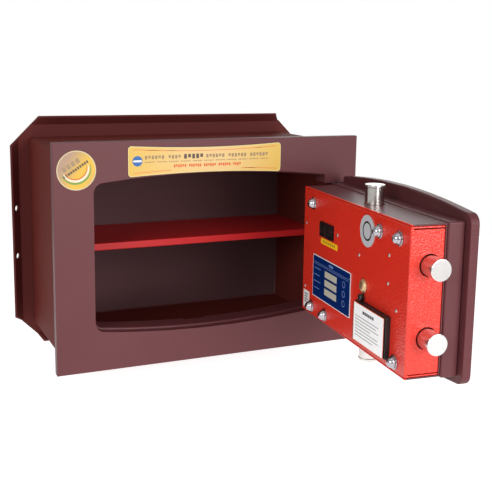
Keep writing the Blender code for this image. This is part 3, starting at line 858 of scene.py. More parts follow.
class DoorBench:
    """The door's own axes at rest: u from the hinge to the free edge, w inward, z up."""

    def __init__(self) -> None:
        """Reads the axes from the joints: the side bolts slide along u and the knob turns about -w."""
        self.free = Vector(joint("side_slide")["axis"])
        self.inward = -Vector(joint("knob_turn")["axis"])
        hinge = Vector(joint("door_swing")["pos_m"])
        spindle = Vector(joint("knob_turn")["pos_m"])
        self.origin = hinge + (spindle - hinge).dot(self.inward) * self.inward
        self.spindle = ((spindle - self.origin).dot(self.free), spindle.z)

    def inside(self, w: float) -> Plane:
        """The plane at depth w that faces inward. Its a is u and its b is z."""
        return Plane(self.origin + w * self.inward, self.free, Vector((0, 0, 1)))

    def outside(self, w: float) -> Plane:
        """The plane at depth w that faces outward. Its a is -u and its b is z."""
        return Plane(self.origin + w * self.inward, -self.free, Vector((0, 0, 1)))

    def span(self, node: str) -> list[Point]:
        """The low and high ends of a node along u, w and z.

        Args:
            node: The node.

        Returns:
            Three (low, high) pairs.
        """
        corners = [v.co - self.origin for v in frame["nodes"][node].data.vertices]
        axes = (self.free, self.inward, Vector((0, 0, 1)))
        return [(min(c.dot(a) for c in corners), max(c.dot(a) for c in corners)) for a in axes]


BENCH = DoorBench()


@dataclass
class Finishes:
    """Every material of the safe, made once."""

    maroon: bpy.types.Material = field(init=False)
    shell_maroon: bpy.types.Material = field(init=False)
    rear_maroon: bpy.types.Material = field(init=False)
    door_maroon: bpy.types.Material = field(init=False)
    inner_maroon: bpy.types.Material = field(init=False)
    red: bpy.types.Material = field(init=False)
    shelf_red: bpy.types.Material = field(init=False)
    bolt_steel: bpy.types.Material = field(init=False)
    side_bolt_steel: bpy.types.Material = field(init=False)
    chrome: bpy.types.Material = field(init=False)
    steel: bpy.types.Material = field(init=False)
    dark_steel: bpy.types.Material = field(init=False)
    brass: bpy.types.Material = field(init=False)
    black: bpy.types.Material = field(init=False)
    gloss_black: bpy.types.Material = field(init=False)
    rubber: bpy.types.Material = field(init=False)
    key: bpy.types.Material = field(init=False)
    ink: bpy.types.Material = field(init=False)
    grey_ink: bpy.types.Material = field(init=False)
    white_ink: bpy.types.Material = field(init=False)
    board: bpy.types.Material = field(init=False)
    sleeve: bpy.types.Material = field(init=False)

    def __post_init__(self) -> None:
        """Makes them all."""
        free = tuple(BENCH.free)
        self.maroon = Enamel("maroon_enamel", MAROON, 0.7 * MM, 0.012 * MM, 0.42).make()
        self.shell_maroon = Enamel("shell_maroon_enamel", (0.125, 0.023, 0.018), 0.8 * MM, 0.02 * MM, 0.58,
                                   gloss=0.04).make()
        # The rear plate's inner face carries a painted sheen, a paler and greyer maroon patch.
        self.rear_maroon = Enamel("rear_maroon_enamel", (0.105, 0.021, 0.019), 0.8 * MM, 0.02 * MM, 0.55,
                                  gloss=0.08, patch=PaintedSheenBack()).make()
        self.door_maroon = Enamel("door_maroon_enamel", MAROON, 1.1 * MM, 0.05 * MM, 0.4, gloss=0.18,
                                  cut_faces=free).make()
        self.inner_maroon = Enamel("inner_maroon_enamel", MAROON, 1.0 * MM, 0.04 * MM, 0.36).make()
        self.red = Enamel("red_enamel", LOCK_RED, 1.9 * MM, 0.5 * MM, 0.24, 0.03, 0.5).make()
        self.shelf_red = Enamel("shelf_red_enamel", (0.52, 0.016, 0.018), 1.1 * MM, 0.05 * MM, 0.42,
                                0.03).make()
        self.bolt_steel = TurnedMetal("bolt_steel", (0.70, 0.665, 0.63), (0, 0, 1), 0.2).make()
        self.side_bolt_steel = TurnedMetal("side_bolt_steel", (0.70, 0.68, 0.66), tuple(BENCH.inward),
                                           0.24).make()
        self.chrome = TurnedMetal("chrome_plate", (0.46, 0.45, 0.48), (0, 0, 1), 0.12, 2 * MM).make()
        self.steel = TurnedMetal("plain_steel", (0.55, 0.54, 0.52), (0, 0, 1), 0.34, 0.6 * MM).make()
        self.dark_steel = TurnedMetal("dark_steel", (0.16, 0.16, 0.17), free, 0.5, 0.8 * MM).make()
        self.brass = TurnedMetal("brass", (0.72, 0.50, 0.29), free, 0.42, 0.3 * MM).make()
        self.black = Moulded("black_plastic", (0.014, 0.013, 0.013), 0.4).make()
        self.gloss_black = Moulded("gloss_black_plastic", (0.008, 0.008, 0.008), 0.16).make()
        self.rubber = Moulded("key_mat_rubber", (0.05, 0.05, 0.055), 0.7).make()
        self.key = Moulded("key_plastic", (0.30, 0.30, 0.31), 0.42).make()
        self.ink = Foil("dark_ink", (0.02, 0.02, 0.022)).make()
        self.grey_ink = Foil("grey_ink", (0.33, 0.33, 0.34)).make()
        self.white_ink = Foil("white_ink", (0.80, 0.80, 0.80)).make()
        self.board = Moulded("circuit_board_green", (0.02, 0.14, 0.06), 0.4).make()
        self.sleeve = Foil("battery_sleeve", (0.03, 0.03, 0.035), roughness=0.25, metallic=0.4).make()


# ---------------------------------------------------------------- body


@dataclass
class SafeBody:
    """The body that is built into the wall, with its shelf and the labels on its front plate."""

    finishes: Finishes
    bead: float = 1.0 * MM
    bead_inset: Point = (3.5 * MM, 3.3 * MM)
    label_lift: float = 0.08 * MM
    label_sag: float = 3 * MM
    label_line: float = 0.7 * MM
    emblem_radius: float = 6 * MM
    print_tilt: float = math.radians(33)

    def dress(self) -> None:
        """Refines the painted sheets and plates."""
        maroon = self.finishes.maroon
        Workshop.refine("front_plate", maroon, Body.SAFE, Slot.MAROON, 0.9 * MM)
        Workshop.refine("door_rebate", self.finishes.inner_maroon, Body.SAFE, Slot.MAROON, 1.6 * MM)
        Workshop.refine("body_shell", self.finishes.shell_maroon, Body.SAFE, Slot.MAROON, 0)
        Workshop.refine("rear_plate", self.finishes.rear_maroon, Body.SAFE, Slot.MAROON, 0.7 * MM)
        Workshop.refine("hinge_block_upper", maroon, Body.SAFE, Slot.MAROON, 0.8 * MM)
        Workshop.refine("hinge_block_lower", maroon, Body.SAFE, Slot.MAROON, 0.8 * MM)
        Workshop.refine("shelf", self.finishes.shelf_red, Body.SAFE, Slot.RED, 1.2 * MM)

    def weld_beads(self) -> None:
        """Lays a weld bead along each edge where the rear plate meets the shell inside."""
        low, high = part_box("body_shell")
        inset, off_back = self.bead_inset
        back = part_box("rear_plate")[1].y - off_back
        x0, x1, z0, z1 = low.x + inset, high.x - inset, low.z + inset, high.z - inset
        shape = Shape(Plane(Vector((0, back, 0)), Vector((1, 0, 0)), Vector((0, 0, 1))))
        r = self.bead
        section = [(0, 0), (r, 0), (0.6 * r, 0.6 * r), (0, r)]
        loops = []
        for out, deep in section:
            ring = ((x0 + out, z0 + out), (x1 - out, z0 + out), (x1 - out, z1 - out), (x0 + out, z1 - out))
            loops.append([shape.bm.verts.new((a, b, deep)) for a, b in ring])
        for k, loop in enumerate(loops):
            after = loops[(k + 1) % len(loops)]
            for c in range(4):
                shape.bm.faces.new((loop[c], loop[(c + 1) % 4], after[(c + 1) % 4], after[c]))
        shape.finish("rear_weld_bead", self.finishes.inner_maroon, Body.SAFE, Slot.MAROON, 0, 60)

    def front_plane(self, node: str) -> Plane:
        """The drawing plane on the front of a label: a is x and b is z."""
        return Plane(Vector((0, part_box(node)[0].y, 0)), Vector((1, 0, 0)), Vector((0, 0, 1)))

    def long_label(self) -> None:
        """Makes the gold label with hollow sides over the opening."""
        low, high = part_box("front_label")
        plane = self.front_plane("front_label")
        thick = high.y - low.y
        middle = (low.x + high.x) / 2

        def waisted(inset: float, corner: float) -> list[Point]:
            """The label's outline, with round corners and hollow long sides.

            Args:
                inset: How far it is moved in.
                corner: The corners' radius.

            Returns:
                The points, the lower side first.
            """
            x0, x1, z0, z1 = low.x + inset, high.x - inset, low.z + inset, high.z - inset
            points = []
            spans = ((z0, 1, x0, x1, 180), (z1, -1, x1, x0, 0))
            for z, side, start, end, turn in spans:
                edge = math.copysign(corner, end - start)
                points += Outline.arc((start + edge, z + side * corner), corner, turn, turn + 90, 5)
                for k in range(1, 16):
                    t = k / 16
                    hollow = side * self.label_sag * 4 * t * (1 - t)
                    points.append((start + edge + (end - start - 2 * edge) * t, z + hollow))
                points += Outline.arc((end - edge, z + side * corner), corner, turn + 90, turn + 180, 5)
            return points

        gold = Foil("gold_foil", (0.66, 0.47, 0.20), (0.62, 0.40, 0.075), (middle, 0, 0), 95 * MM).make()
        rim = Foil("pale_gold_rim", (0.66, 0.56, 0.24)).make()
        salmon = Foil("salmon_ink", (0.66, 0.17, 0.055)).make()
        orange = Foil("orange_red_ink", (0.60, 0.09, 0.02)).make()
        blue = Foil("blue_ink", (0.03, 0.12, 0.34)).make()
        lift = self.label_lift
        body = Shape(plane).plate(waisted(0, 4 * MM), -thick, 0)
        label = body.finish("long_label_rim", rim, Body.SAFE, Slot.GOLD)
        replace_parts(label, "front_label")
        Shape(plane).plate(waisted(0.8 * MM, 3.5 * MM), 0, lift).finish(
            "long_label_field", gold, Body.SAFE, Slot.GOLD)
        border = waisted(4 * MM, 3 * MM)
        half = len(border) // 2
        lower = border[4:half - 4]
        lines = Shape(plane)
        for path in (border[half + 4:-4], [p for p in lower if p[0] < low.x + 62 * MM],
                     [p for p in lower if p[0] > high.x - 58 * MM]):
            lines.line(path, self.label_line, lift, 2 * lift)
        lines.finish("long_label_lines", salmon, Body.SAFE, Slot.GOLD)
        row = Shape(plane)
        self.marks(row, (middle - 42 * MM, middle + 44 * MM), (103.0 * MM, 106.4 * MM), 2.7 * MM, lift)
        row.finish("long_label_red_row", orange, Body.SAFE, Slot.GOLD)
        emblem = (low.x + 11 * MM, 111.6 * MM)
        Shape(plane).plate(Outline.circle(emblem, self.emblem_radius), lift, 2 * lift).finish(
            "long_label_emblem", blue, Body.SAFE, Slot.GOLD)
        band = Outline.rounded((emblem[0] - 5 * MM, emblem[0] + 5 * MM),
                               (emblem[1] - 1 * MM, emblem[1] + 1 * MM), 0.6 * MM)
        Shape(plane).plate(band, 2 * lift, 3 * lift).finish("long_label_emblem_band", self.finishes.white_ink,
                                                            Body.SAFE, Slot.GOLD)
        bars = Shape(plane)
        start = emblem[0] + 9 * MM
        for first, last in ((0, 44), (76, 158)):
            self.marks(bars, (start + first * MM, start + last * MM), (113.4 * MM, 117.6 * MM), 4.1 * MM,
                       lift)
        self.marks(bars, (start, start + 158 * MM), (109.4 * MM, 110.7 * MM), 2.1 * MM, lift)
        bars.finish("long_label_print", Foil("label_grey_print", (0.30, 0.20, 0.10)).make(), Body.SAFE,
                    Slot.GOLD)
        bold = Shape(plane)
        self.marks(bold, (start + 48 * MM, start + 73 * MM), (112.9 * MM, 118.4 * MM), 5.1 * MM, lift)
        bold.finish("long_label_bold_print", Foil("label_dark_print", (0.09, 0.06, 0.05)).make(), Body.SAFE,
                    Slot.GOLD)

    @staticmethod
    def marks(shape: Shape, across: Point, tall: Point, pitch: float, lift: float) -> None:
        """Prints a row of plain upright marks, as lettering looks from a distance.

        Args:
            shape: The shape that they are added to.
            across: Where the row starts and ends.
            tall: The marks' low and high ends.
            pitch: From one mark to the next.
            lift: How thick the print is.
        """
        count = round((across[1] - across[0]) / pitch)
        for k in range(count):
            if k % 7 == 6 and pitch < 5 * MM:
                continue
            start = across[0] + k * pitch
            low = tall[0] + (0.25 * (tall[1] - tall[0]) if k % 3 == 1 else 0)
            shape.plate([(start, low), (start + 0.68 * pitch, low), (start + 0.68 * pitch, tall[1]),
                         (start, tall[1])], lift, 2 * lift)

    def round_label(self) -> None:
        """Makes the round gold label with its tilted bands and swoosh."""
        low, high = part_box("round_label")
        plane = self.front_plane("round_label")
        radius = (high.x - low.x) / 2
        centre = ((low.x + high.x) / 2, (low.z + high.z) / 2)
        lift = self.label_lift
        # Painted reflection over the foil's own gold: brightest gold along a tilted band through this spot,
        # fading to dull brown towards both sides.
        painted_reflection_spot = (centre[0] + 9 * MM, 0, centre[1] - 5 * MM)
        gold = Foil("round_gold_foil", (0.64, 0.40, 0.05), (0.36, 0.24, 0.17), painted_reflection_spot, 26 * MM,
                    (0.83, 0, -0.56)).make()
        rim = Foil("round_pale_rim", (0.56, 0.46, 0.28)).make()
        label = Shape(plane).plate(Outline.circle(centre, radius), low.y - high.y, 0).finish(
            "round_label_rim", rim, Body.SAFE, Slot.GOLD)
        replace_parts(label, "round_label")
        Shape(plane).plate(Outline.circle(centre, radius - 1.2 * MM), 0, lift).finish(
            "round_label_field", gold, Body.SAFE, Slot.GOLD)
        swoosh_centre = (centre[0] - 1.5 * MM, centre[1] + 3.5 * MM)
        for name, colour, reach, width in (("amber", (0.55, 0.13, 0.03), 13.0, 1.3),
                                           ("cream", (0.66, 0.64, 0.52), 14.6, 2.4),
                                           ("olive", (0.16, 0.28, 0.07), 17.4, 2.2)):
            path = Outline.arc(swoosh_centre, reach * MM, 205, 375, 32)
            tone = Foil(f"round_label_{name}", colour).make()
            swell = [math.sin(math.pi * k / (len(path) - 1)) ** 0.6 * width * MM for k in range(len(path))]
            outer = [tuple(a + (a - mid) / (reach * MM) * grow for a, mid in zip(point, swoosh_centre))
                     for point, grow in zip(path, swell)]
            Shape(plane).plate(path + outer[-2:0:-1], lift, 2 * lift).finish(
                f"round_label_{name}_band", tone, Body.SAFE, Slot.GOLD)
        tilt = self.print_tilt
        rows = ((Foil("round_label_print", (0.30, 0.21, 0.12)), -2, 8.5, 24, 5.6, 4),
                (Foil("round_label_dark_print", (0.10, 0.07, 0.04)), 0, 1.4, 34, 3.0, 11))
        for shade, back, up, length, tall, count in rows:
            bars = Shape(plane)
            for k in range(count):
                reach = (k + 0.5) / count - 0.5
                middle = Vector((back * MM + reach * length * MM, up * MM))
                middle.rotate(Matrix.Rotation(tilt, 2))
                run = Vector((math.cos(tilt), math.sin(tilt))) * 0.36 * length / count * MM
                ends = [(centre[0] + middle.x + s * run.x, centre[1] + middle.y + s * run.y) for s in (-1, 1)]
                bars.line(ends, tall * MM, lift, 1.6 * lift)
            bars.finish(shade.name, shade.make(), Body.SAFE, Slot.GOLD)

    def build(self) -> None:
        """Builds the whole sub-assembly."""
        self.dress()
        self.weld_beads()
        self.long_label()
        self.round_label()


# ---------------------------------------------------------------- door


@dataclass
class DoorLeaf:
    """The outer plate, the folded inner plate, the hinge and what they hide."""

    finishes: Finishes

    def build(self) -> None:
        """Refines the door's plates and hinge."""
        Workshop.refine("door_outer_plate", self.finishes.door_maroon, Body.DOOR, Slot.MAROON, 0)
        Workshop.refine("door_inner_plate", self.finishes.inner_maroon, Body.DOOR, Slot.MAROON, 0)
        Workshop.refine("hinge_knuckle", self.finishes.inner_maroon, Body.DOOR, Slot.MAROON, 0.5 * MM)
        Workshop.coat(["hinge_pin_upper", "hinge_pin_lower"], self.finishes.dark_steel)
        Workshop.coat(["hard_plate"], self.finishes.dark_steel)


@dataclass
class LockCase:
    """The lock's painted housing, its red cover and everything fixed to them."""

    finishes: Finishes
    print_height: float = 0.1 * MM
    glue: float = 0.15 * MM
    mark_height: float = 0.05 * MM
    sprayed: float = 2.6 * MM
    screw_skirt: tuple[Point, ...] = ((0, 0), (7.6, 0), (7.6, 0.6), (7.1, 1.0), (6.2, 1.0), (6.2, 2.2),
                                      (6.0, 2.6))
    screw_dome: float = 5.4
    screw_top: float = 8.0
    rivet_head: tuple[Point, ...] = ((0, 0), (1.9, 0), (1.7, 0.45), (1.1, 0.8), (0, 0.95))
    rivet_places: tuple[Point, ...] = ((48.4, 32.7), (141, 34.7), (198.3, 24.4), (266.4, 38.8),
                                       (266.5, 9.9), (48.4, -47), (286, -13))
    spot_places: tuple[Point, ...] = ((69.7, -24.6), (189.3, -49.1))
    plug: tuple[Point, ...] = ((0, 0), (7.6, 0), (7.6, 1.2), (6.9, 1.9), (6.2, 1.9), (6.0, 2.4),
                               (5.2, 3.1), (3.2, 3.6), (0, 3.8))
    face: float = field(init=False)

    def __post_init__(self) -> None:
        """Finds the cover's face from its solid."""
        self.face = BENCH.span("lock_cover")[1][1]

    def dress(self) -> None:
        """Refines the housing and the cover, and coats what is inside."""
        rim = BENCH.origin.dot(BENCH.inward) + self.face - self.sprayed
        painted = Enamel("housing_enamel", MAROON, 1.0 * MM, 0.04 * MM, 0.36,
                         patch=SprayedRim(tuple(BENCH.inward), rim)).make()
        Workshop.refine("lock_housing", painted, Body.DOOR, Slot.MAROON, 0.3 * MM)
        Workshop.refine("lock_cover", self.finishes.red, Body.DOOR, Slot.RED, 0.7 * MM)
        Workshop.coat(["circuit_board"], self.finishes.board)
        Workshop.coat(["lock_solenoid"], self.finishes.dark_steel)
        Workshop.coat(["solenoid_plunger"], self.finishes.steel)
        Workshop.coat([f"battery_cell_{k}" for k in (1, 2, 3)], self.finishes.sleeve)

    def screws(self) -> None:
        """Makes each cover screw: a washer under a tall chrome dome."""
        plane = BENCH.inside(self.face)
        dome = Outline.arc((0, self.screw_skirt[-1][1]), self.screw_dome, 10, 82, 9)
        profile = [(r * MM, h * MM) for r, h in (*self.screw_skirt, *dome, (0, self.screw_top))]
        for number in range(1, 7):
            node = f"cover_screw_{number}"
            u, _, z = BENCH.span(node)
            centre = (sum(u) / 2, sum(z) / 2)
            screw = Shape(plane.raised(0.2 * MM)).turned(profile, centre, 48)
            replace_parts(screw.finish(f"{node}_dome", self.finishes.chrome, Body.DOOR, Slot.CHROME), node)

    def rivets(self) -> None:
        """Sets the small rivets and spot marks that show on the cover."""
        plane = BENCH.inside(self.face)
        head = [(r * MM, h * MM) for r, h in self.rivet_head]
        shape = Shape(plane)
        for u, z in self.rivet_places:
            shape.turned(head, (u * MM, z * MM), 20)
        shape.finish("cover_rivets", self.finishes.steel, Body.DOOR, Slot.STEEL)
        marks = Shape(plane)
        for u, z in self.spot_places:
            marks.plate(Outline.circle((u * MM, z * MM), 1.3 * MM, 20), 0, 0.06 * MM)
        marks.finish("cover_spot_marks", self.finishes.ink, Body.DOOR, Slot.BLACK)

    def spindle_plug(self) -> None:
        """Makes the brass plug that covers the spindle's end."""
        shape = Shape(BENCH.inside(self.face + 0.2 * MM))
        shape.turned([(r * MM, h * MM) for r, h in self.plug], BENCH.spindle, 48)
        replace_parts(shape.finish("spindle_plug", self.finishes.brass, Body.DOOR, Slot.BRASS), "spindle_bush")

    def rating_plate(self) -> None:
        """Makes the blue plate with its white edge and three pale fields."""
        (u0, u1), (_, top), (z0, z1) = BENCH.span("rating_plate")
        plane = BENCH.inside(self.face + self.glue)
        thick = top - self.face - self.glue
        step = self.print_height
        blue = Foil("blue_plate", (0.001, 0.016, 0.105), roughness=0.42, gloss=0.04).make()
        base = Shape(plane).plate(Outline.rounded((u0, u1), (z0, z1), 1 * MM), 0, thick)
        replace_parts(base.finish("rating_plate_edge", self.finishes.white_ink, Body.DOOR, Slot.BLUE),
                    "rating_plate")
        rim = 0.9 * MM
        field_outline = Outline.rounded((u0 + rim, u1 - rim), (z0 + rim, z1 - rim), 0.6 * MM)
        Shape(plane).plate(field_outline, thick, thick + step).finish(
            "rating_plate_field", blue, Body.DOOR, Slot.BLUE)
        fields = Shape(plane)
        wide = u1 - u0
        for row in range(3):
            top_z = z1 - (13.5 + 10.5 * row) * MM
            spot = ((u0 + 0.34 * wide, u0 + 0.66 * wide), (top_z - 7.6 * MM, top_z))
            fields.plate(Outline.rounded(*spot, 0.5 * MM), thick + step, thick + 2 * step)
        beige = Foil("plate_fields", (0.46, 0.44, 0.36), roughness=0.4).make()
        fields.finish("rating_plate_fields", beige, Body.DOOR, Slot.BLUE)
        pale = Foil("plate_pale_print", (0.16, 0.24, 0.50)).make()
        prints = Shape(plane)
        for z in (8.0, 10.0):
            rule = Outline.rounded((u0 + 4 * MM, u1 - 4 * MM), (z1 - (z + 0.5) * MM, z1 - z * MM), 0.1 * MM)
            prints.plate(rule, thick + step, thick + 2 * step)
        for k in range(4):
            z = z1 - (15 + 8 * k) * MM
            words = Outline.rounded((u0 + 5 * MM, u0 + (24 - 3 * (k % 2)) * MM), (z - 0.9 * MM, z), 0.2 * MM)
            prints.plate(words, thick + step, thick + 2 * step)
        for k in range(3):
            middle = (u1 - 17 * MM, z1 - (17 + 11 * k) * MM)
            prints.line(Outline.circle(middle, 3.4 * MM, 24), 0.8 * MM, thick + step, thick + 2 * step, True)
        prints.plate(Outline.rounded(((u0 + u1) / 2 - 6 * MM, (u0 + u1) / 2 + 6 * MM),
                                     (z1 - 6.2 * MM, z1 - 3.6 * MM), 1 * MM), thick + step, thick + 2 * step)
        prints.finish("rating_plate_print", pale, Body.DOOR, Slot.BLUE)

    def small_labels(self) -> None:
        """Makes the silver sticker, the yellow tag and the white edge tag."""
        (u0, u1), (_, top), (z0, z1) = BENCH.span("round_sticker")
        plane = BENCH.inside(self.face + self.glue)
        centre = ((u0 + u1) / 2, (z0 + z1) / 2)
        thick = top - self.face - self.glue
        silver = Foil("silver_sticker", (0.60, 0.63, 0.66), roughness=0.34, metallic=0.25).make()
        disc = Shape(plane).plate(Outline.circle(centre, (u1 - u0) / 2), 0, thick)
        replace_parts(disc.finish("round_sticker_disc", silver, Body.DOOR, Slot.SILVER),
                    "round_sticker")
        ring = Shape(plane).line(Outline.circle(centre, 9.5 * MM), 2.0 * MM, thick, thick + 0.06 * MM, True)
        ring.finish("round_sticker_ring", self.finishes.ink, Body.DOOR, Slot.SILVER)
        flat = BENCH.inside(self.face)
        low, top = 0.02 * MM, 0.25 * MM
        yellow = Foil("yellow_tag", (0.86, 0.50, 0.015)).make()
        tag = Outline.rounded((95.4 * MM, 142.4 * MM), (16.6 * MM, 23.4 * MM), 0.5 * MM)
        Shape(flat).plate(tag, low, top).finish("yellow_tag", yellow, Body.DOOR, Slot.CARD)
        marks = Shape(flat)
        for k in range(7):
            start = (101 + 5.2 * k) * MM
            mark = Outline.rounded((start, start + 3.2 * MM), (18.8 * MM, 21.2 * MM), 0.4 * MM)
            marks.plate(mark, top, 0.3 * MM)
        brown = Foil("yellow_tag_print", (0.30, 0.16, 0.02)).make()
        marks.finish("yellow_tag_marks", brown, Body.DOOR, Slot.CARD)
        paper = Foil("edge_tag_paper", (0.78, 0.78, 0.76)).make()
        tag = Outline.rounded((46 * MM, 64 * MM), (-73 * MM, -51 * MM), 1 * MM)
        Shape(flat).plate(tag, low, top).finish("edge_tag", paper, Body.DOOR, Slot.CARD)
        bars = Shape(flat)
        for k in range(4):
            z = (-55 - 3.2 * k) * MM
            bar = Outline.rounded((49 * MM, (60 - 2 * (k % 2)) * MM), (z - 1.2 * MM, z), 0.2 * MM)
            bars.plate(bar, top, 0.3 * MM)
        bars.finish("edge_tag_marks", self.finishes.ink, Body.DOOR, Slot.CARD)

    def battery_compartment(self) -> None:
        """Refines the holder and its clip, and prints the card on its lid."""
        Workshop.refine("battery_holder", self.finishes.black, Body.DOOR, Slot.BLACK, 0.6 * MM)
        Workshop.refine("lid_catch", self.finishes.black, Body.DOOR, Slot.BLACK, 0.4 * MM)
        (u0, u1), (w0, w1), (z0, z1) = BENCH.span("battery_lid")
        plane = BENCH.inside(w0)
        thick = w1 - w0
        orange = Foil("card_orange_edge", (0.78, 0.14, 0.04)).make()
        paper = Foil("card_paper", (0.95, 0.95, 0.95)).make()
        base = Shape(plane).plate(Outline.rounded((u0, u1), (z0, z1), 1.2 * MM), 0, thick)
        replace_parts(base.finish("battery_lid_shell", self.finishes.black, Body.DOOR, Slot.BLACK, 0.2 * MM),
                    "battery_lid")
        u0, u1, z1 = u0 + 1.6 * MM, u1 + 1.6 * MM, z1 + 0.6 * MM
        border = Outline.rounded((u0, u1), (z0, z1), 0.6 * MM)
        Shape(plane).plate(border, thick, thick + self.print_height).finish(
            "battery_card_border", orange, Body.DOOR, Slot.CARD)
        rim = 0.9 * MM
        Shape(plane).plate(Outline.rounded((u0 + rim, u1 - rim), (z0 + rim, z1 - rim), 0.4 * MM),
                           thick + self.print_height, thick + 2 * self.print_height).finish(
            "battery_card_face", paper, Body.DOOR, Slot.CARD)
        low = thick + 2 * self.print_height
        header = Shape(plane)
        middle = (u0 + u1) / 2
        for k in range(6):
            start = middle - 13 * MM + 4.4 * k * MM
            letter = Outline.rounded((start, start + 3.4 * MM), (z1 - 9 * MM, z1 - 5.6 * MM), 0.4 * MM)
            header.plate(letter, low, low + self.mark_height)
        header.finish("battery_card_header", self.finishes.ink, Body.DOOR, Slot.CARD)
        lines = Shape(plane)
        for k, share in enumerate((0.9, 0.82, 0.9, 0.6, 0.88, 0.9, 0.7)):
            z = z1 - (13.5 + 3.5 * k) * MM
            end = u0 + 5 * MM + share * (u1 - u0 - 10 * MM)
            lines.plate(Outline.rounded((u0 + 5 * MM, end), (z - 0.9 * MM, z), 0.2 * MM), low,
                        low + self.mark_height)
        lines.finish("battery_card_lines", self.finishes.grey_ink, Body.DOOR, Slot.CARD)

    def socket(self) -> None:
        """Makes the ribbed black connector in its frame."""
        (u0, u1), (w0, w1), (z0, z1) = BENCH.span("socket_block")
        plane = BENCH.inside(w0)
        top = w1 - w0
        u1 -= 3 * MM
        split = u0 + 0.44 * (u1 - u0)
        surround = Shape(plane)
        surround.plate(Outline.rounded((u0, u1), (z0, z1), 1 * MM), 0, top - 1.6 * MM)
        for start, end in ((u0, split - 0.4 * MM), (split + 0.4 * MM, u1)):
            edge = Outline.rounded((start + 0.6 * MM, end - 0.6 * MM), (z0 + 0.6 * MM, z1 - 0.6 * MM),
                                   0.8 * MM, 3)
            surround.line(edge, 1.1 * MM, top - 1.8 * MM, top, True)
        made = surround.finish("socket_frame", self.finishes.gloss_black, Body.DOOR, Slot.BLACK, 0.12 * MM)
        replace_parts(made, "socket_block")
        ribs = Shape(plane)
        for start, end, count in ((u0, split, 4), (split, u1, 5)):
            for k in range(count):
                u = start + 2.2 * MM + (end - start - 4.4 * MM) * k / (count - 1)
                ribs.plate(Outline.rounded((u - 0.45 * MM, u + 0.45 * MM), (z0 + 2.2 * MM, z1 - 2.2 * MM),
                                           0.3 * MM, 2), top - 1.8 * MM, top - 0.5 * MM)
        ribs.finish("socket_ribs", self.finishes.gloss_black, Body.DOOR, Slot.BLACK, 0.1 * MM)

    def build(self) -> None:
        """Builds the whole sub-assembly."""
        self.dress()
        self.screws()
        self.rivets()
        self.spindle_plug()
        self.rating_plate()
        self.small_labels()
        self.battery_compartment()
        self.socket()


# ---------------------------------------------------------------- boltwork


@dataclass
class Boltwork:
    """The four round bolts, their racks and the pinion."""

    finishes: Finishes
    radius: float = 11 * MM
    rim: float = 0.45 * MM
    rim_start: float = 3.2 * MM
    rim_full: float = 2.6 * MM
    edge: float = 0.8 * MM

    def profile(self, length: float) -> list[Point]:
        """A bolt's profile from its inner end to its tip, with a turned rim at the tip.

        Args:
            length: The bolt's length.

        Returns:
            (radius, height) points.
        """
        r, neck = self.radius, self.radius - self.rim
        points = [(0, 0), (neck - self.edge, 0), (neck, self.edge), (neck, length - self.rim_start),
                  (r, length - self.rim_full), (r, length - 1.0 * MM)]
        points += Outline.arc((r - self.edge, length - self.edge), self.edge, 10, 90, 5)
        return points + [(0, length)]

    def upright(self, node: str, body: str, up: bool) -> None:
        """Makes the top or the bottom bolt.

        Args:
            node: The solid that it replaces.
            body: The body that it rides on.
            up: Whether its tip is at the top.
        """
        low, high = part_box(node)
        middle = (low + high) / 2
        start = Vector((middle.x, middle.y, low.z if up else high.z))
        right = Vector((1, 0, 0)) if up else Vector((-1, 0, 0))
        shape = Shape(Plane(start, right, Vector((0, 1, 0))))
        shape.turned(self.profile(high.z - low.z), steps=64)
        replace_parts(shape.finish(f"{node}_turned", self.finishes.bolt_steel, body, Slot.CHROME), node)

    def sideways(self, node: str) -> None:
        """Makes one of the two side bolts.

        Args:
            node: The solid that it replaces.
        """
        (u0, u1), w, z = BENCH.span(node)
        start = BENCH.origin + u0 * BENCH.free + sum(w) / 2 * BENCH.inward + Vector((0, 0, sum(z) / 2))
        shape = Shape(Plane(start, Vector((0, 0, 1)).cross(BENCH.free), Vector((0, 0, 1))))
        shape.turned(self.profile(u1 - u0), steps=64)
        made = shape.finish(f"{node}_turned", self.finishes.side_bolt_steel, Body.SIDE_BOLTS, Slot.CHROME)
        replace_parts(made, node)

    def build(self) -> None:
        """Builds the whole sub-assembly."""
        self.upright("top_bolt", Body.TOP_BOLT, True)
        self.upright("bottom_bolt", Body.BOTTOM_BOLT, False)
        self.sideways("side_bolt_upper")
        self.sideways("side_bolt_lower")
        Workshop.coat(["top_rack", "bottom_rack", "side_carriage", "spindle_pinion"], self.finishes.steel)


# ---------------------------------------------------------------- outer controls


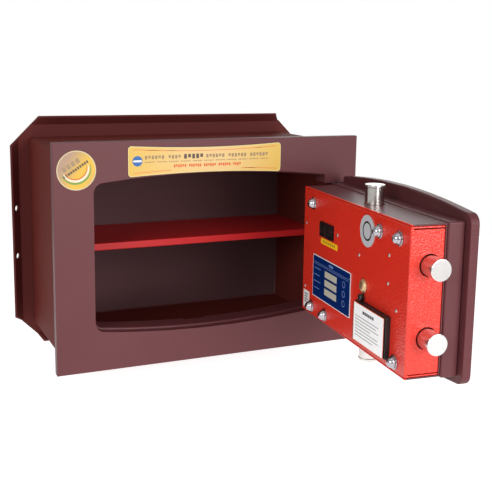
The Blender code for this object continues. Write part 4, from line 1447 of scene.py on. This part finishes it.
@dataclass
class OuterControls:
    """The knob and the keypad on the door's outer face."""

    finishes: Finishes
    legends: str = "123456789*0#"
    legend_size: float = 7.5 * MM
    legend_height: float = 0.04 * MM
    key_inset: float = 0.05 * MM
    flutes: int = 24
    flute_depth: float = 0.55

    def knob(self) -> None:
        """Makes the fluted knob with its pointer line."""
        (_, (w0, w1), _) = BENCH.span("knob")
        plane = BENCH.outside(w1)
        centre = (-BENCH.spindle[0], BENCH.spindle[1])
        tall = w1 - w0
        rings = ((12.5, 0), (12.5, 3.0), (19.0, 5.0), (21.0, 8.0), (21.3, tall / MM - 5),
                 (20.2, tall / MM - 2), (17.5, tall / MM - 0.4), (15.0, tall / MM), (6.0, tall / MM - 0.6))
        shape = Shape(plane)
        steps = self.flutes * 8
        loops = []
        for radius, height in rings:
            loop = []
            for k in range(steps):
                turn = math.tau * k / steps
                fluted = 8.0 <= height <= tall / MM - 2
                wave = self.flute_depth * math.cos(turn * self.flutes) if fluted else 0.0
                reach = (radius + min(0.0, wave) - 0.1) * MM
                loop.append(shape.bm.verts.new((centre[0] + reach * math.cos(turn),
                                                centre[1] + reach * math.sin(turn), height * MM)))
            loops.append(loop)
        for loop, after in zip(loops, loops[1:]):
            for k in range(steps):
                shape.bm.faces.new((loop[k], loop[(k + 1) % steps], after[(k + 1) % steps], after[k]))
        shape.bm.faces.new(loops[0][::-1])
        shape.bm.faces.new(loops[-1])
        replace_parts(shape.finish("knob_grip", self.finishes.black, Body.KNOB, Slot.BLACK, smooth=40), "knob")
        line = Shape(plane.raised(tall - 0.35 * MM))
        line.plate(Outline.rounded((centre[0] - 0.7 * MM, centre[0] + 0.7 * MM),
                                   (centre[1] + 7.5 * MM, centre[1] + 14.5 * MM), 0.6 * MM), 0, 0.3 * MM)
        line.finish("knob_pointer", self.finishes.white_ink, Body.KNOB, Slot.GREY)
        Workshop.refine("knob_rose", self.finishes.chrome, Body.DOOR, Slot.CHROME, 0.3 * MM)

    def keypad(self) -> None:
        """Refines the case and puts a legend on each key."""
        Workshop.refine("keypad_case", self.finishes.black, Body.DOOR, Slot.BLACK, 0)
        Workshop.coat(["keypad_mat"], self.finishes.rubber)
        for number, legend in enumerate(self.legends, 1):
            node = f"key_{number:02d}"
            (u0, u1), (w0, w1), (z0, z1) = BENCH.span(node)
            plane = BENCH.outside(w1)
            tall = w1 - w0
            body_name = f"{node}_body"
            inset = self.key_inset
            outline = Outline.rounded((-u1 + inset, -u0 - inset), (z0 + inset, z1 - inset), 2.2 * MM)
            cap = Shape(plane).plate(outline, 0, tall - inset)
            made = cap.finish(f"{node}_cap", self.finishes.key, body_name, Slot.GREY, 0.5 * MM)
            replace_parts(made, node)
            self.legend(node, legend, plane.raised(tall - inset), ((-u0 - u1) / 2, (z0 + z1) / 2), body_name)

    def legend(self, node: str, text: str, plane: Plane, centre: Point, body_name: str) -> None:
        """Prints one character on a key.

        Args:
            node: The key's node.
            text: The character.
            plane: The key's top.
            centre: The key's middle on that plane.
            body_name: The body that it rides on.
        """
        curve = bpy.data.curves.new(f"{node}_legend", "FONT")
        curve.body = text
        curve.size = self.legend_size
        curve.extrude = self.legend_height
        curve.align_x = "CENTER"
        curve.align_y = "CENTER"
        curve.materials.append(self.finishes.white_ink)
        letter = bpy.data.objects.new(f"{node}_legend", curve)
        bpy.context.scene.collection.objects.link(letter)
        letter.matrix_world = plane.matrix() @ Matrix.Translation((*centre, self.legend_height))
        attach(letter, body_name)

    def build(self) -> None:
        """Builds the whole sub-assembly."""
        self.knob()
        self.keypad()


# ---------------------------------------------------------------- studio


@dataclass(frozen=True)
class Softbox:
    """A square softbox: where it hangs, what it faces, its side, its power and its tint."""

    name: str
    place: tuple[float, float, float]
    target: tuple[float, float, float]
    side: float
    power: float
    tint: Colour = (1.0, 1.0, 1.0)

    def hang(self) -> None:
        """Adds the light."""
        light = bpy.data.lights.new(self.name, "AREA")
        light.shape = "SQUARE"
        light.size = self.side
        light.energy = self.power
        light.color = self.tint
        lamp = bpy.data.objects.new(self.name, light)
        bpy.context.scene.collection.objects.link(lamp)
        lamp.location = self.place
        aim = Vector(self.target) - Vector(self.place)
        lamp.rotation_euler = aim.to_track_quat("-Z", "Y").to_euler()


@dataclass
class Studio:
    """The pale floor, the soft lights and the camera."""

    eye: tuple[float, float, float] = (-0.3985, -1.1697, 0.2275)
    yaw: float = math.radians(24.372)
    pitch: float = math.radians(10.015)
    roll: float = math.radians(0.860)
    focal: float = 880.2 / IMAGE_SIDE
    shift: tuple[float, float] = (0.0, -30 / IMAGE_SIDE)
    sensor: float = 36.0
    floor_gap: float = 3 * MM
    floor_centre: Point = (0.05, -0.15)
    floor_radius: float = 1.0
    floor_glow: float = 0.9
    ambient: float = 0.20
    reflected: float = 0.50

    def camera(self) -> None:
        """Adds the camera at the viewing angle."""
        forward = Vector((math.sin(self.yaw) * math.cos(self.pitch),
                          math.cos(self.yaw) * math.cos(self.pitch), -math.sin(self.pitch)))
        right = Vector((math.cos(self.yaw), -math.sin(self.yaw), 0))
        up = right.cross(forward)
        turned_right = math.cos(self.roll) * right + math.sin(self.roll) * up
        turned_up = math.cos(self.roll) * up - math.sin(self.roll) * right
        data = bpy.data.cameras.new("camera")
        data.sensor_width = self.sensor
        data.lens = self.focal * self.sensor
        data.shift_x, data.shift_y = self.shift
        data.clip_start = 0.05
        eye = bpy.data.objects.new("camera", data)
        bpy.context.scene.collection.objects.link(eye)
        turn = Matrix((turned_right, turned_up, -forward)).transposed().to_4x4()
        eye.matrix_world = Matrix.Translation(self.eye) @ turn
        bpy.context.scene.camera = eye

    def floor(self) -> None:
        """Lays the pale floor under the safe."""
        level = CAD_BOX[0].z - self.floor_gap
        mesh = bpy.data.meshes.new("floor")
        rim = Outline.circle(self.floor_centre, self.floor_radius, 96)
        mesh.from_pydata([(x, y, level) for x, y in rim], [], [tuple(range(len(rim)))])
        floor = bpy.data.objects.new("floor", mesh)
        bpy.context.scene.collection.objects.link(floor)
        board = NodeBoard("pale_floor")
        mottle = board.noise(board.place(), 0.4, 2.0)
        tint = board.mix(mottle, (0.52, 0.52, 0.52), (0.48, 0.48, 0.48))
        mesh.materials.append(board.surface(Base_Color=tint, Roughness=0.8, Emission_Color=(1.0, 1.0, 1.0),
                                            Emission_Strength=self.floor_glow))

    def lights(self) -> None:
        """Hangs the softboxes round the safe."""
        middle = (0.0, -0.25, 0.0)
        boxes = (Softbox("front_right_box", (0.5, -2.1, 0.45), middle, 1.2, 30.0, (1.0, 0.985, 1.0)),
                 Softbox("front_left_box", (-1.5, -1.5, 0.8), middle, 1.1, 20.0),
                 Softbox("back_right_box", (1.15, 1.0, 0.5), middle, 1.0, 4.0),
                 Softbox("top_box", (-0.1, -0.6, 1.9), middle, 1.4, 4.0))
        for box in boxes:
            box.hang()

    def room(self) -> None:
        """Whitens the room: dim to the paint, paler in reflections and white behind the safe."""
        world = bpy.data.worlds.new("studio")
        bpy.context.scene.world = world
        world.use_nodes = True
        tree = world.node_tree
        light = tree.nodes["Background"]
        light.inputs["Color"].default_value = (1.0, 1.0, 1.0, 1.0)
        light.inputs["Strength"].default_value = self.ambient
        rays = tree.nodes.new("ShaderNodeLightPath")
        seen = light.outputs["Background"]
        for ray, strength in (("Is Glossy Ray", self.reflected), ("Is Camera Ray", 1.0)):
            other = tree.nodes.new("ShaderNodeBackground")
            other.inputs["Color"].default_value = (1.0, 1.0, 1.0, 1.0)
            other.inputs["Strength"].default_value = strength
            blend = tree.nodes.new("ShaderNodeMixShader")
            tree.links.new(rays.outputs[ray], blend.inputs["Fac"])
            tree.links.new(seen, blend.inputs[1])
            tree.links.new(other.outputs["Background"], blend.inputs[2])
            seen = blend.outputs["Shader"]
        tree.links.new(seen, tree.nodes["World Output"].inputs["Surface"])

    def build(self) -> None:
        """Sets up the whole studio."""
        self.camera()
        self.floor()
        self.lights()
        self.room()
        bpy.context.scene.view_settings.view_transform = "Standard"


def main() -> None:
    """Builds every sub-assembly in order, then the studio."""
    logging.basicConfig(level=logging.INFO, format="%(name)s: %(message)s")
    Studio().build()
    finishes = Finishes()
    for part in (SafeBody(finishes), DoorLeaf(finishes), LockCase(finishes), Boltwork(finishes),
                 OuterControls(finishes)):
        part.build()
        log.info("built %s", type(part).__name__)


if __name__ == "__main__":
    main()
